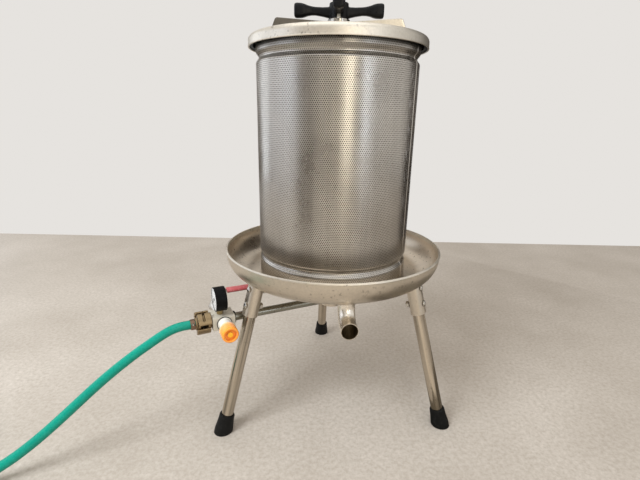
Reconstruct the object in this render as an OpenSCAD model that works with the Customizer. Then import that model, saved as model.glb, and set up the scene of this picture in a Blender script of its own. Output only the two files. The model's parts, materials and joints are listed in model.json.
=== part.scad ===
// Hydraulic fruit press. A perforated basket stands in a juice tray on three legs, and tap water
// swells a rubber bladder on the centre post, which squeezes the fruit against the basket.
// Millimetres, +Z up. The origin is on the press axis at floor level, and the spout looks along -Y.

/* [Basket] */
// Outer diameter of the basket
basket_d = 330; // [300:1:350]
// Height of the basket
basket_h = 480; // [420:1:540]
// Thickness of the basket sheet
basket_wall = 2; // [1.5:0.1:2.5]
// Depth of the two rolled grooves
groove_depth = 6; // [3:0.5:8]
// Width of a rolled groove
groove_w = 22; // [14:1:28]
// Middle of the lower groove, from the foot of the basket
groove_in = 43; // [30:1:60]
// Middle of the upper groove, from the top of the basket
groove_down = 33.5; // [28:0.5:60]

/* [Tray] */
// Outer diameter of the tray over its rolled rim
tray_d = 483; // [470:1:520]
// Height of the tray floor above the ground
tray_floor = 335; // [320:1:380]
// Depth of the tray, floor to rim
tray_depth = 54; // [52:1:70]
// Thickness of the tray sheet
tray_sheet = 2; // [1.5:0.1:3]
// Outer radius of the curve between floor and wall
tray_corner = 50; // [40:1:53]
// Diameter of the rolled rim
rim_bead = 5; // [4:0.5:7]

/* [Spout] */
// Outer diameter of the spout tube
spout_d = 33.5; // [28:0.5:36]
// Wall of the spout tube
spout_wall = 1.5; // [1:0.1:2.5]
// Distance of the spout's root from the press axis
spout_r = 195; // [188:1:200]
// Bend radius of the spout, on its middle line
spout_bend = 35; // [30:1:45]
// Straight length at the mouth
spout_end = 10; // [6:1:20]
// Turn of the spout from the front, towards the right
spout_turn = 3; // [0:1:10]

/* [Legs] */
// Diameter of a leg tube
leg_d = 26; // [24:1:30]
// Wall of a leg tube
leg_wall = 2; // [1.5:0.1:3]
// Slope of a leg from upright, in degrees
leg_tilt = 15.5; // [12:0.5:18]
// Radius of the circle that the feet stand on
foot_ring = 284; // [275:1:300]
// Length of a leg socket
socket_len = 72; // [68:1:84]
// Thickness of the socket sheet
socket_sheet = 2.5; // [2:0.1:3.5]
// Reach of the socket's flanges behind the leg's middle
flange_reach = 9; // [8:0.5:12]
// Diameter of the leg bolts
bolt_d = 8; // [6:1:10]
// Height of the lower bolt above the socket's lower end
bolt_low = 22; // [18:1:25]
// Distance between the two bolts of a leg
bolt_step = 35; // [30:1:37]
// Diameter of a rubber foot at the ground
foot_d = 40; // [38:1:46]
// Length of a rubber foot
foot_h = 42; // [34:1:50]
// Rubber under the leg tube
foot_sole = 12; // [11:1:16]

/* [Centre post] */
// Diameter of the tie rod
rod_d = 20; // [16:1:22]
// Outer diameter of the core tube
core_d = 38; // [34:1:44]
// Wall of the core tube
core_wall = 3; // [2:0.5:4]
// Thickness of the base plate that centres the basket
plate_t = 6; // [4:1:10]
// Gap between the base plate and the basket
plate_gap = 2; // [1:0.5:4]
// Diameter of the bladder at rest
bladder_d = 124; // [100:1:150]
// Thickness of the bladder rubber
bladder_wall = 4; // [3:0.5:6]
// Length of the bladder's necks
neck_len = 26; // [20:1:34]
// Width of the bladder clamps
clamp_w = 12; // [8:1:16]
// Radial thickness of the bladder clamps
clamp_t = 3; // [2:0.5:5]
// Space between the core tube and the lid
core_short = 15; // [12:1:25]

/* [Lid] */
// Diameter of the lid
lid_d = 359; // [352:1:380]
// Thickness of the lid sheet
lid_sheet = 2; // [1.5:0.1:3]
// Height of the lid, top to skirt edge
lid_h = 21; // [16:1:26]
// Outer radius of the lid's edge
lid_corner = 10; // [7:1:14]
// Thickness of the lid seal
seal_t = 4; // [3:0.5:6]
// Width of the lid seal inside and outside the basket edge
seal_reach = 9; // [4:0.5:9.5]

/* [Crossbar] */
// Length of the crossbar on top
bar_l = 250; // [220:1:280]
// Slant of each end of the crossbar
bar_slant = 12; // [6:1:16]
// Width of the crossbar
bar_w = 55; // [46:1:70]
// Height of the crossbar at its ends
bar_h = 34; // [30:1:42]
// Dip of the crossbar at its middle
bar_dip = 6; // [3:0.5:8]
// Length of the flat seat in the middle
bar_seat = 60; // [50:1:80]
// Thickness of the crossbar sheet
bar_sheet = 3; // [2:0.5:4]
// Turn of the crossbar and the handle, seen from above
bar_turn = -6; // [-30:1:30]

/* [Cross handle] */
// Span of the handle, tip to tip
handle_span = 177; // [160:1:200]
// Diameter of the handle's hub
handle_hub = 38; // [36:1:46]
// Height of the hub
handle_h = 30; // [28:1:36]
// Height of an arm's swollen end
tip_h = 27; // [22:1:28]
// Length of an arm's swollen end
tip_l = 22; // [16:1:28]
// Height of an arm's neck
arm_h = 13; // [10:0.5:15]
// Width across the flats of the steel insert
insert_af = 27; // [25.5:0.5:28]
// Thickness of the thrust washer
washer_t = 7; // [5:0.5:9]
// Diameter of the thrust washer
washer_d = 44; // [40:1:48]

/* [Feed line] */
// Depth of the feed pipe's middle below the tray
feed_drop = 81; // [70:1:90]
// Diameter of the feed pipe
feed_d = 18; // [14:1:20]
// Wall of the feed pipe
feed_wall = 1.5; // [1:0.1:2.5]
// Diameter of the inlet hub under the tray
hub_d = 48; // [44:1:56]
// Distance along the feed line from the left leg's axis to the manifold block
block_gap = 26.97; // [23:0.01:38]
// Length of the block along the feed line
block_l = 47; // [44:1:52]
// Depth of the block, front to back
block_w = 44; // [40:1:50]
// Height of the block
block_h = 28; // [26:1:32]
// Diameter of the water passages in the block
port_d = 14; // [11:0.5:15]
// Outer diameter of the pipe gasket
gasket_d = 26; // [23:1:28]
// Thickness of the pipe gasket
gasket_t = 4; // [3:0.5:6]

/* [Gauge] */
// Diameter of the gauge case
gauge_d = 52; // [48:1:60]
// Depth of the gauge case
gauge_t = 25; // [23:1:30]
// Height of the case's lowest point above the block
gauge_up = 8; // [6:0.5:12]
// Wall of the gauge case
gauge_wall = 2.5; // [2:0.1:3.5]
// Width across the flats of the brass stem
stem_af = 12; // [10:0.5:14]

/* [Safety valve] */
// Diameter of the valve neck
neck_d = 26; // [24:0.5:27]
// Length of the neck outside the block
neck_out = 30; // [26:1:34]
// Diameter of the orange cap
cap_d = 34; // [33:0.5:38]
// Length of the cap
cap_l = 33; // [30:1:38]
// Length of the cap that covers the neck
cap_lap = 8; // [6:1:10]
// Diameter of the button in the cap
button_d = 11; // [9:0.5:12]

/* [Drain valve] */
// Diameter of the drain valve body
drain_d = 28; // [27:0.5:28]
// Length of the drain valve body
drain_l = 38; // [36:1:44]
// Length of the screwed end piece
drain_end_l = 14; // [12:1:18]
// Diameter of the ball
ball_d = 21; // [20:0.5:22]
// Bore of the ball and body
ball_bore = 12; // [10:0.5:13]
// Bore of the threaded outlet
outlet_d = 18.6; // [17:0.2:20]
// Height of the lever above the feed line
lever_up = 47; // [43:1:50]
// Length of the lever from its pivot
lever_l = 84; // [70:1:95]

/* [Claw coupling and hose] */
// Diameter over the coupling's claws
claw_d = 48; // [47:1:54]
// Length of one coupling half
claw_l = 16.5; // [15:0.5:20]
// Outer diameter of the supply hose
hose_d = 19; // [17:0.5:20]
// Bore of the hose
hose_bore = 13; // [12:0.5:14]
// Width of the hose clip
clip_w = 9; // [7:0.5:11]
// Thickness of the clip band
clip_t = 1.2; // [0.8:0.1:2]
// Width of the coil tie
tie_w = 14; // [10:1:20]
// Thickness of the coil tie
tie_t = 1.5; // [1:0.1:1.8]
// Diameter of the tap connector
tap_d = 26; // [24:0.5:26.5]
// Length of the tap connector
tap_l = 52; // [44:1:60]
// Bore of the tap connector's thread
tap_bore = 20; // [18:0.5:21]

/* [Fits] */
// Gap between pieces that seat on each other
seat_gap = 0.15; // [0.1:0.05:0.2]
// Gap between pieces that move past each other
run_gap = 0.3; // [0.25:0.05:0.5]

/* [Hidden] */
$fn = 64;

// Heights that stack up from the ground
tray_under = tray_floor - tray_sheet;
tray_rim = tray_floor + tray_depth;
basket_top = tray_floor + basket_h;
lid_under = basket_top + seal_t;
lid_top = lid_under + lid_sheet;
bar_top = lid_top + bar_h - bar_dip;
handle_z = bar_top + washer_t;
handle_mid = handle_z + handle_h / 2;
rod_top = handle_z + handle_h - 4;
plate_top = tray_floor + plate_t;
core_top = basket_top - core_short;
feed_z = tray_under - feed_drop;

// Radii
basket_r = basket_d / 2;
tray_r = (tray_d - rim_bead + tray_sheet) / 2;
rod_r = rod_d / 2;
core_r = core_d / 2;
core_bore = core_r - core_wall;
leg_r = leg_d / 2;
bolt_r = bolt_d / 2;
spout_rad = spout_d / 2;
feed_r = feed_d / 2;
port_r = port_d / 2;
hose_r = hose_d / 2;
neck_r = core_r + seat_gap + bladder_wall;
rod_hole = rod_r + 1.5;

// Legs: bearings of the left, right and back leg, and places along a leg
leg_az = [210, 330, 90];
socket_turn = [90, -90, 90];
leg_at_tray = tray_under / cos(leg_tilt);
socket_from = leg_at_tray - socket_len;
socket_in = leg_r + seat_gap;
socket_out = socket_in + socket_sheet;
bolt_places = [socket_from + bolt_low, socket_from + bolt_low + bolt_step];
bolt_head = 4.5;
nut_af = 1.6 * bolt_d;
nut_h = 0.8 * bolt_d;

// Feed line: bearing of the pipe, then distances along it from the press axis
feed_az = 202;
hub_low = feed_z - feed_r - 2;
hub_sole = 8;
pipe_from = hub_d / 2 - 7;
pipe_grip = 8;
leg_reach = foot_ring - feed_z * tan(leg_tilt);
block_s = leg_reach * cos(leg_az[0] - feed_az) + block_gap;
block_end = block_s + block_l;
block_top = block_h / 2;
tap_s = block_s + block_l / 2;
claw_s = block_end + claw_l;
hose_s = claw_s + claw_l;

// Gauge: the case stands on the block, and its dial looks out along the feed line
gauge_r = gauge_d / 2;
gauge_z = block_top + gauge_up + gauge_r;
gauge_s = tap_s + 4 - gauge_t / 2;
dial_at = gauge_t - 9;
needle_at = dial_at + 2;
lens_at = gauge_t - 4;

// Safety valve: distances out from the block's front face
cap_from = neck_out - cap_lap;
cap_front = cap_from + cap_l;
cap_bore = neck_d / 2 + run_gap;
recess = 7;
vent_lift = 1;
spindle_r = 3;
disc_r = 8;
disc_t = 3;
spring_wire = 1.6;
spring_turns = 5;
spring_r = 6;
neck_bore = disc_r + 2 * run_gap;
neck_web = 3;
spring_from = port_r / 2 + disc_t;
spring_l = neck_out - neck_web - spring_from - vent_lift - run_gap;

// Drain valve: the stem stands over the ball, behind the block
drain_mid = drain_l / 2 + 2;
stem_r = 4;
lever_t = 3;
lever_w = 16;
sleeve_l = 0.74 * lever_l;
sleeve_h = 9;
boss_h = lever_up - lever_t - 10;

// Hose: places beyond the coupling and heights, chosen where it hangs and lies, ending at the coil
hose_fall = [[14, 252], [27, 252], [41, 250], [55, 245.5], [69, 239], [83, 231.5], [98, 223],
             [113, 214.5], [141, 197], [171, 176.5], [201, 154], [231, 130], [261, 106], [291, 83],
             [321, 62], [351, 44], [381, 30], [416, 19], [456, 13], [501, 11.5], [531, 11.5],
             [561, 11.5]];
hose_route = [for (p = hose_fall) [hose_s + p[0], p[1]]];
// Coil: two layers that spiral in and out again
coil_start = hose_route[len(hose_route) - 1];
coil_r = 121;
turns_in = 1.5;
turns_out = 1.75;
coil_pitch = 20;
layer_step = 20;
loop_rings = 24;
// Tail: down from the coil's upper layer to the tap connector on the floor, as bearings across the feed line
tail_route = [[-121, 31.5], [-140, 31.5], [-166, 31.5], [-190, 29], [-215, 24], [-240, 18.5], [-265, 14.5],
              [-290, 13.5], [-310, 13.5]];
coil_mid = [coil_start[0], -coil_r];
tail_s = coil_mid[0] + coil_r - coil_pitch * (turns_in - turns_out);
tie_turn = 0.1;

// Points of an arc
function arc(c, r, from, to, steps) =
    [for (i = [0:steps]) let (a = from + (to - from) * i / steps) c + r * [cos(a), sin(a)]];
function flip(points) = [for (i = [len(points) - 1:-1:0]) points[i]];
function unit(v) = v / norm(v);
// Ease from 0 to 1 with level ends
function ease(t) = t <= 0 ? 0 : t >= 1 ? 1 : (1 - cos(180 * t)) / 2;

// Direction of a route at one of its points
function heading(p, i) = unit(p[min(i + 1, len(p) - 1)] - p[max(i - 1, 0)]);
// Ring of points square to the route
function ring(p, i, r, sides) =
    let (t = heading(p, i), side = unit(cross(t, [0, 0, 1])), up = cross(side, t))
    [for (k = [0:sides - 1]) p[i] + r * (cos(360 * k / sides) * side + sin(360 * k / sides) * up)];

// Closed tube along a route, all in triangles; lead points at each end only steer it
module tube_along(p, r, sides, lead = 0) {
    n = len(p) - 2 * lead;
    rings = [for (i = [lead:lead + n - 1]) each ring(p, i, r, sides)];
    walls = [for (i = [0:n - 2], k = [0:sides - 1])
        let (a = i * sides + k, b = i * sides + (k + 1) % sides)
        each [[a, b, b + sides], [a, b + sides, a + sides]]];
    near = [for (k = [1:sides - 2]) [0, k + 1, k]];
    far = [for (k = [1:sides - 2]) (n - 1) * sides * [1, 1, 1] + [0, k, k + 1]];
    polyhedron(points = rings, faces = concat(walls, near, far));
}

// Centre of the coil's tube after n turns, in the feed line's own plane
function coil_radius(n) = coil_r - coil_pitch * (n < turns_in ? n : 2 * turns_in - n);
function coil_height(n) = coil_start[1] + layer_step * ease((n - turns_in + 0.25) / 0.5);
function coil_point(n) = let (a = 90 - 360 * n)
    [coil_mid[0] + coil_radius(n) * cos(a), coil_mid[1] + coil_radius(n) * sin(a), coil_height(n)];
coil_turns = turns_in + turns_out;
coil_rings = ceil(coil_turns * loop_rings);
coil_step = coil_turns / coil_rings;
// Its first and last point only square the ends to the hose and the tail
coil_path = concat([coil_point(coil_step) - [60, 0, 0]],
                   [for (i = [0:coil_rings]) coil_point(coil_step * i)],
                   [coil_point(coil_turns - coil_step) - [0, 60, 0]]);
coil_gap = min([for (i = [1:coil_rings + 1], j = [i + 1:coil_rings + 1])
    if (j - i > loop_rings / 2) norm(coil_path[i] - coil_path[j])]) - hose_d;

// Centre of the valve spring's wire, one level end turn short of each end
function spring_point(i) = let (t = i / (8 * spring_turns))
    [spring_r * cos(360 * spring_turns * t), spring_r * sin(360 * spring_turns * t),
     spring_wire / 2 + (spring_l - spring_wire) * t];
spring_path = [for (i = [0:8 * spring_turns]) spring_point(i)];
spring_gap = (spring_l - spring_wire) / spring_turns - spring_wire;
echo(coil_gap = coil_gap, spring_gap = spring_gap);

// Frames of the repeated places
module at_leg(i) {
    rotate([0, 0, leg_az[i]]) translate([foot_ring, 0, 0]) rotate([0, -leg_tilt, 0]) children();
}
module at_feed(s = 0, e = 0, z = 0) {
    rotate([0, 0, feed_az]) translate([s, e, feed_z + z]) children();
}
// Along the feed line, towards the front of it and towards the back of it
module along_feed(s) { at_feed(s) rotate([0, 90, 0]) children(); }
module to_front(s, e) { at_feed(s, e) rotate([-90, 0, 0]) children(); }
module to_back(s, e) { at_feed(s, e) rotate([90, 0, 0]) children(); }

module ring_solid(outer, inner, h) {
    difference() {
        cylinder(r = outer, h = h);
        translate([0, 0, -1]) cylinder(r = inner, h = h + 2);
    }
}
module hex(af, h) { cylinder(d = af / cos(30), h = h, $fn = 6); }

// Tray
module bowl_section(r, corner, low, high) {
    intersection() {
        union() {
            translate([0, low]) square([r - corner, high - low]);
            translate([0, low + corner]) square([r, high - low]);
            translate([r - corner, low + corner]) circle(r = corner);
        }
        translate([0, low]) square([r, high - low]);
    }
}
module bowl(inset, low, high) {
    rotate_extrude() bowl_section(tray_r - inset, tray_corner - inset, low, high);
}
// All that lies inside the tray's outer face
module tray_space() { bowl(0, tray_under, tray_rim); }
module juice_tray() {
    color("silver") difference() {
        union() {
            tray_space();
            translate([0, 0, tray_rim]) rotate_extrude()
                translate([tray_r - tray_sheet / 2, 0]) circle(d = rim_bead);
        }
        bowl(tray_sheet, tray_floor, tray_rim + rim_bead);
        translate([0, 0, tray_under - 1]) cylinder(r = core_bore, h = tray_sheet + 2);
        at_spout() translate([0, 0, -spout_bend]) cylinder(r = spout_rad - spout_wall, h = 4 * spout_bend);
    }
}

// Spout: its frame has the root at the tray and +X out towards the mouth
module at_spout() { rotate([0, 0, -90 + spout_turn]) translate([spout_r, 0, tray_under - 2]) children(); }
module spout_section() {
    difference() {
        circle(r = spout_rad);
        circle(r = spout_rad - spout_wall);
    }
}
module spout_tube() {
    color("silver") difference() {
        at_spout() union() {
            linear_extrude(tray_corner) spout_section();
            translate([spout_bend, 0, 0]) rotate([90, 0, 0]) rotate([0, 0, 180]) rotate_extrude(angle = 90)
                translate([spout_bend, 0]) spout_section();
            translate([spout_bend, 0, -spout_bend]) rotate([0, 90, 0])
                linear_extrude(spout_end) spout_section();
        }
        tray_space();
    }
}

// Legs
// Round nose with two straight flanges behind it
module socket_section(r, reach) {
    intersection() {
        circle(r = r);
        translate([0, -r]) square([r, 2 * r]);
    }
    translate([-reach, -r]) square([reach, 2 * r]);
}
module bolt_holes(r) {
    for (t = bolt_places)
        translate([0, 0, t]) rotate([0, 90, 0]) cylinder(r = r, h = 4 * leg_d, center = true);
}
module socket(i) {
    color("silver") difference() {
        at_leg(i) translate([0, 0, socket_from]) rotate([0, 0, socket_turn[i]])
            linear_extrude(socket_len + tray_corner) difference() {
                socket_section(socket_out, flange_reach);
                socket_section(socket_in, flange_reach + 1);
            }
        at_leg(i) bolt_holes(bolt_r + seat_gap);
        tray_space();
    }
}
module leg(i) {
    color("tan") at_leg(i) difference() {
        translate([0, 0, foot_sole]) ring_solid(leg_r, leg_r - leg_wall, leg_at_tray - foot_sole - 5);
        bolt_holes(bolt_r + seat_gap);
    }
}
module foot(i) {
    top_r = leg_r + 3.5;
    low = -foot_d / 4;
    color("black") difference() {
        at_leg(i) rotate_extrude() polygon(concat(
            [[0, low], [foot_d / 2, low], [foot_d / 2, 6]],
            [[top_r + 0.8, foot_h * 0.6], [top_r, foot_h - 3], [top_r - 1.2, foot_h], [0, foot_h]]));
        at_leg(i) translate([0, 0, foot_sole]) cylinder(r = leg_r + seat_gap, h = foot_h);
        translate([0, 0, -50]) cylinder(r = 2 * foot_ring, h = 50);
    }
}
module leg_bolts() {
    color("gainsboro") for (i = [0:2], t = bolt_places) at_leg(i) translate([0, 0, t]) rotate([0, 90, 0]) {
        translate([0, 0, -socket_out - nut_h - 1.5]) cylinder(r = bolt_r, h = 2 * socket_out + nut_h + 1.5);
        translate([0, 0, socket_out]) intersection() {
            cylinder(r = 0.82 * bolt_d, h = bolt_head);
            translate([0, 0, bolt_head - 1.35 * bolt_d]) sphere(r = 1.35 * bolt_d);
        }
    }
}
module leg_nuts() {
    color("dimgray") for (i = [0:2], t = bolt_places) at_leg(i) translate([0, 0, t]) rotate([0, 90, 0])
        translate([0, 0, -socket_out - nut_h]) difference() {
            hex(nut_af, nut_h);
            translate([0, 0, -1]) cylinder(r = bolt_r + seat_gap, h = nut_h + 2);
        }
}

// Centre post and bladder
module inlet_hub() {
    color("silver") difference() {
        translate([0, 0, hub_low]) cylinder(d = hub_d, h = tray_under - hub_low);
        translate([0, 0, hub_low + hub_sole]) cylinder(r = core_bore, h = tray_under - hub_low);
        translate([0, 0, hub_low - 1]) cylinder(r = rod_r + seat_gap, h = hub_sole + 2);
        along_feed(0) cylinder(r = feed_r + seat_gap, h = hub_d);
    }
}
module tie_rod() {
    color("gainsboro") translate([0, 0, hub_low]) cylinder(r = rod_r, h = rod_top - hub_low);
}
module core_tube() {
    holes = 6;
    color("lightgray") difference() {
        translate([0, 0, tray_floor]) ring_solid(core_r, core_bore, core_top - tray_floor);
        for (k = [1:holes])
            translate([0, 0, plate_top + neck_len + k * (core_top - plate_top - 2 * neck_len) / (holes + 1)])
                rotate([90, 0, 90 * (k % 2)]) cylinder(r = core_bore / 4, h = 2 * core_d, center = true);
    }
}
module core_cap() {
    color("silver") difference() {
        union() {
            translate([0, 0, core_top]) cylinder(r = core_r + 4, h = 7);
            translate([0, 0, core_top - 10]) cylinder(r = core_bore - seat_gap, h = 11);
        }
        translate([0, 0, core_top - 11]) cylinder(r = rod_r + seat_gap, h = 20);
    }
}
module base_plate() {
    color("silver") translate([0, 0, tray_floor])
        ring_solid(basket_r - basket_wall - plate_gap, core_r + seat_gap, plate_t);
}
// Outer line of the bladder, and its inner line one wall further in
function bladder_line(inset) =
    let (low = plate_top + neck_len, high = core_top - neck_len, flare = 40, r = bladder_d / 2 - inset,
         n = neck_r - inset)
    concat([[n, plate_top]], [for (i = [0:8]) [n + (r - n) * ease(i / 8), low + flare * i / 8]],
           [for (i = [8:-1:0]) [n + (r - n) * ease(i / 8), high - flare * i / 8]], [[n, core_top]]);
module bladder() {
    color("black") rotate_extrude() polygon(concat(bladder_line(0), flip(bladder_line(bladder_wall))));
}
module clamp_ring(z) {
    color("silver") translate([0, 0, z]) ring_solid(neck_r + seat_gap + clamp_t, neck_r + seat_gap, clamp_w);
}
module clamp_lower() { clamp_ring(plate_top + (neck_len - clamp_w) / 2); }
module clamp_upper() { clamp_ring(core_top - (neck_len + clamp_w) / 2); }

// Basket with its two rolled grooves
function groove(z, r) =
    [for (a = [-180:30:180]) [r - groove_depth * (1 + cos(a)) / 2, z + groove_w * a / 360]];
function basket_line(r) = concat([[r, tray_floor]], groove(tray_floor + groove_in, r),
                                 groove(basket_top - groove_down, r), [[r, basket_top]]);
module basket_shell() {
    color("darkgray") rotate_extrude()
        polygon(concat(basket_line(basket_r), flip(basket_line(basket_r - basket_wall))));
}

// Lid, its seal and the crossbar
module lid_section(r, corner, low, high) {
    translate([0, low]) square([r, high - corner - low]);
    translate([0, low]) square([r - corner, high - low]);
    translate([r - corner, high - corner]) circle(r = corner);
}
module lid_shell() {
    color("silver") rotate_extrude() difference() {
        lid_section(lid_d / 2, lid_corner, lid_top - lid_h, lid_top);
        lid_section(lid_d / 2 - lid_sheet, lid_corner - lid_sheet, lid_top - lid_h - 1, lid_under);
        translate([0, lid_under - 1]) square([rod_hole, lid_sheet + 2]);
    }
}
module lid_seal() {
    color("black") translate([0, 0, basket_top])
        ring_solid(basket_r + seal_reach / 2, basket_r - basket_wall - seal_reach, seal_t);
}
module bar_outline() {
    half = bar_l / 2;
    edge = 6;
    polygon(concat([[-half - bar_slant, 0]], arc([-half + edge, bar_h - edge], edge, 160, 92, 4),
                   [[-bar_seat / 2, bar_h - bar_dip], [bar_seat / 2, bar_h - bar_dip]],
                   arc([half - edge, bar_h - edge], edge, 88, 20, 4), [[half + bar_slant, 0]]));
}
module bar_hollow() {
    out = bar_l / 2 + bar_slant + 1;
    high = bar_h - bar_sheet;
    polygon([[-out, -1], [-out, high], [-bar_l / 2, high], [-bar_seat / 2, high - bar_dip],
             [bar_seat / 2, high - bar_dip], [bar_l / 2, high], [out, high], [out, -1]]);
}
module crossbar() {
    color("silver") translate([0, 0, lid_top]) rotate([0, 0, bar_turn]) difference() {
        rotate([90, 0, 0]) linear_extrude(bar_w, center = true) bar_outline();
        rotate([90, 0, 0]) linear_extrude(bar_w - 2 * bar_sheet, center = true) bar_hollow();
        cylinder(r = rod_hole, h = bar_h);
    }
}

// Closing nut: washer, moulded cross handle and its steel insert
module thrust_washer() {
    color("gainsboro") translate([0, 0, bar_top]) ring_solid(washer_d / 2, rod_r + run_gap, washer_t);
}
// Outline of two opposite arms: thin necks and swollen ends
module arm_outline(root, neck, tip) {
    end = handle_span / 2;
    edge = 4;
    from = end - tip_l;
    quarter = concat([[0, root], [handle_hub / 2, root]], [[from - 20, neck], [from - 8, neck + 0.8]],
                     [[from - 3, (neck + tip) / 2], [from + 3, tip - 0.8]],
                     arc([end - edge, tip - edge], edge, 90, 0, 5));
    upper = concat(flip([for (p = quarter) [-p[0], p[1]]]), quarter);
    polygon(concat(upper, flip([for (p = upper) [p[0], -p[1]]])));
}
module arm_pair() {
    intersection() {
        rotate([90, 0, 0]) linear_extrude(2 * tip_l, center = true) arm_outline(8, arm_h / 2, tip_h / 2);
        linear_extrude(2 * tip_h, center = true) arm_outline(9, 7.5, 11.5);
    }
}
module cross_handle() {
    slot_w = 8;
    color("black") translate([0, 0, handle_mid]) rotate([0, 0, bar_turn]) difference() {
        union() {
            cylinder(d = handle_hub, h = handle_h, center = true);
            arm_pair();
            rotate([0, 0, 90]) arm_pair();
        }
        translate([0, 0, -handle_h / 2 - 1]) hex(insert_af + 2 * seat_gap, handle_h - 3);
        translate([0, 0, -handle_h / 2 - 1]) cylinder(r = rod_r + run_gap, h = handle_h + 2);
        translate([-slot_w / 2, -handle_hub, -handle_h / 2 - 1]) cube([slot_w, handle_hub, 15]);
        translate([0, -handle_hub / 2, 14 - handle_h / 2]) rotate([90, 0, 0])
            cylinder(d = slot_w, h = handle_hub, center = true);
    }
}
module handle_insert() {
    color("gainsboro") translate([0, 0, handle_z]) rotate([0, 0, bar_turn]) difference() {
        hex(insert_af, handle_h - 4);
        translate([0, 0, -1]) cylinder(r = rod_r + run_gap, h = handle_h);
    }
}

// Feed line and manifold block
module feed_pipe() {
    color("darkgray") along_feed(pipe_from)
        ring_solid(feed_r, feed_r - feed_wall, block_s + pipe_grip - pipe_from);
}
module pipe_gasket() {
    color("black") along_feed(block_s - gasket_t) ring_solid(gasket_d / 2, feed_r + seat_gap, gasket_t);
}
module manifold_block() {
    color("wheat") difference() {
        at_feed(block_s, -block_w / 2, -block_h / 2) cube([block_l, block_w, block_h]);
        along_feed(block_s - 1) cylinder(r = feed_r + seat_gap, h = pipe_grip + 1);
        along_feed(block_s - 1) cylinder(r = port_r, h = block_l + 2);
        at_feed(tap_s + 4) cylinder(r = stem_af / 2 - 1 + seat_gap, h = block_h);
        to_front(tap_s, 0) cylinder(r = port_r, h = block_w);
        to_back(tap_s, 0) cylinder(r = ball_bore / 2, h = block_w);
    }
}

// Gauge: case, movement, dial, needle and lens share one axis
module at_gauge(t) { at_feed(gauge_s + t, 0, gauge_z) rotate([0, 90, 0]) children(); }
module gauge_stem() {
    color("goldenrod") at_feed(tap_s + 4, 0, 0) difference() {
        union() {
            translate([0, 0, block_top]) hex(stem_af, gauge_up + 1.2);
            translate([0, 0, block_top - 8]) cylinder(r = stem_af / 2 - 1, h = 8.5);
        }
        translate([0, 0, gauge_z]) rotate([0, 90, 0]) cylinder(r = gauge_r, h = 4 * gauge_t, center = true);
        translate([0, 0, block_top - 9]) cylinder(r = stem_af / 5, h = 4 * gauge_up);
    }
}
module gauge_case() {
    color("black") at_gauge(0) difference() {
        cylinder(r = gauge_r, h = gauge_t);
        translate([0, 0, 3]) cylinder(r = gauge_r - gauge_wall, h = gauge_t);
    }
}
module gauge_movement() {
    color("goldenrod") at_gauge(3) difference() {
        cylinder(r = gauge_r / 2, h = dial_at - 3);
        translate([0, 0, dial_at - 8]) cylinder(r = 1 + run_gap, h = 8);
    }
}
module gauge_dial() {
    color("white") at_gauge(dial_at) ring_solid(gauge_r - gauge_wall - seat_gap, 1 + run_gap, 1);
}
module gauge_needle() {
    reach = gauge_r - gauge_wall - 5;
    color("black") at_gauge(needle_at) union() {
        translate([0, 0, -5]) cylinder(r = 1, h = 6);
        cylinder(r = 2.5, h = 1);
        rotate([0, 0, -45]) linear_extrude(1) polygon([[-6, -1.2], [-6, 1.2], [reach, 0.3], [reach, -0.3]]);
    }
}
module gauge_lens() {
    color("lightblue", 0.4) at_gauge(lens_at) cylinder(r = gauge_r - gauge_wall - seat_gap, h = 3);
}

// Safety valve on the block's front face
module safety_neck() {
    color("gainsboro") to_front(tap_s, block_w / 2) difference() {
        union() {
            cylinder(d = neck_d + 3, h = 3);
            cylinder(d = neck_d, h = neck_out);
        }
        translate([0, 0, -1]) cylinder(r = port_r / 2, h = neck_out);
        translate([0, 0, port_r / 2]) cylinder(r = neck_bore, h = neck_out - neck_web - port_r / 2);
        cylinder(r = spindle_r + run_gap, h = neck_out + 1);
    }
}
module safety_spindle() {
    color("gold") to_front(tap_s, block_w / 2) union() {
        translate([0, 0, port_r / 2]) cylinder(r = disc_r, h = disc_t);
        translate([0, 0, port_r / 2]) cylinder(r = spindle_r, h = cap_front - recess - port_r / 2);
        translate([0, 0, cap_front - recess - 1]) cylinder(d = button_d, h = recess - 1);
    }
}
module safety_spring() {
    color("silver") to_front(tap_s, block_w / 2) translate([0, 0, spring_from])
        tube_along(spring_path, spring_wire / 2, 6);
}
module safety_cap() {
    floor_at = cap_l - recess - 1 - run_gap;
    color("darkorange") to_front(tap_s, block_w / 2 + cap_from) difference() {
        union() {
            cylinder(d = cap_d, h = cap_l - 2);
            translate([0, 0, cap_l - 2]) cylinder(d1 = cap_d, d2 = cap_d - 4, h = 2, $fn = 96);
        }
        translate([0, 0, -1]) cylinder(r = cap_bore, h = cap_lap + 1 + run_gap);
        translate([0, 0, -1]) cylinder(r = spindle_r + run_gap, h = cap_l + 2);
        translate([0, 0, floor_at]) cylinder(d = cap_d - 9, h = cap_l);
    }
}

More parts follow.
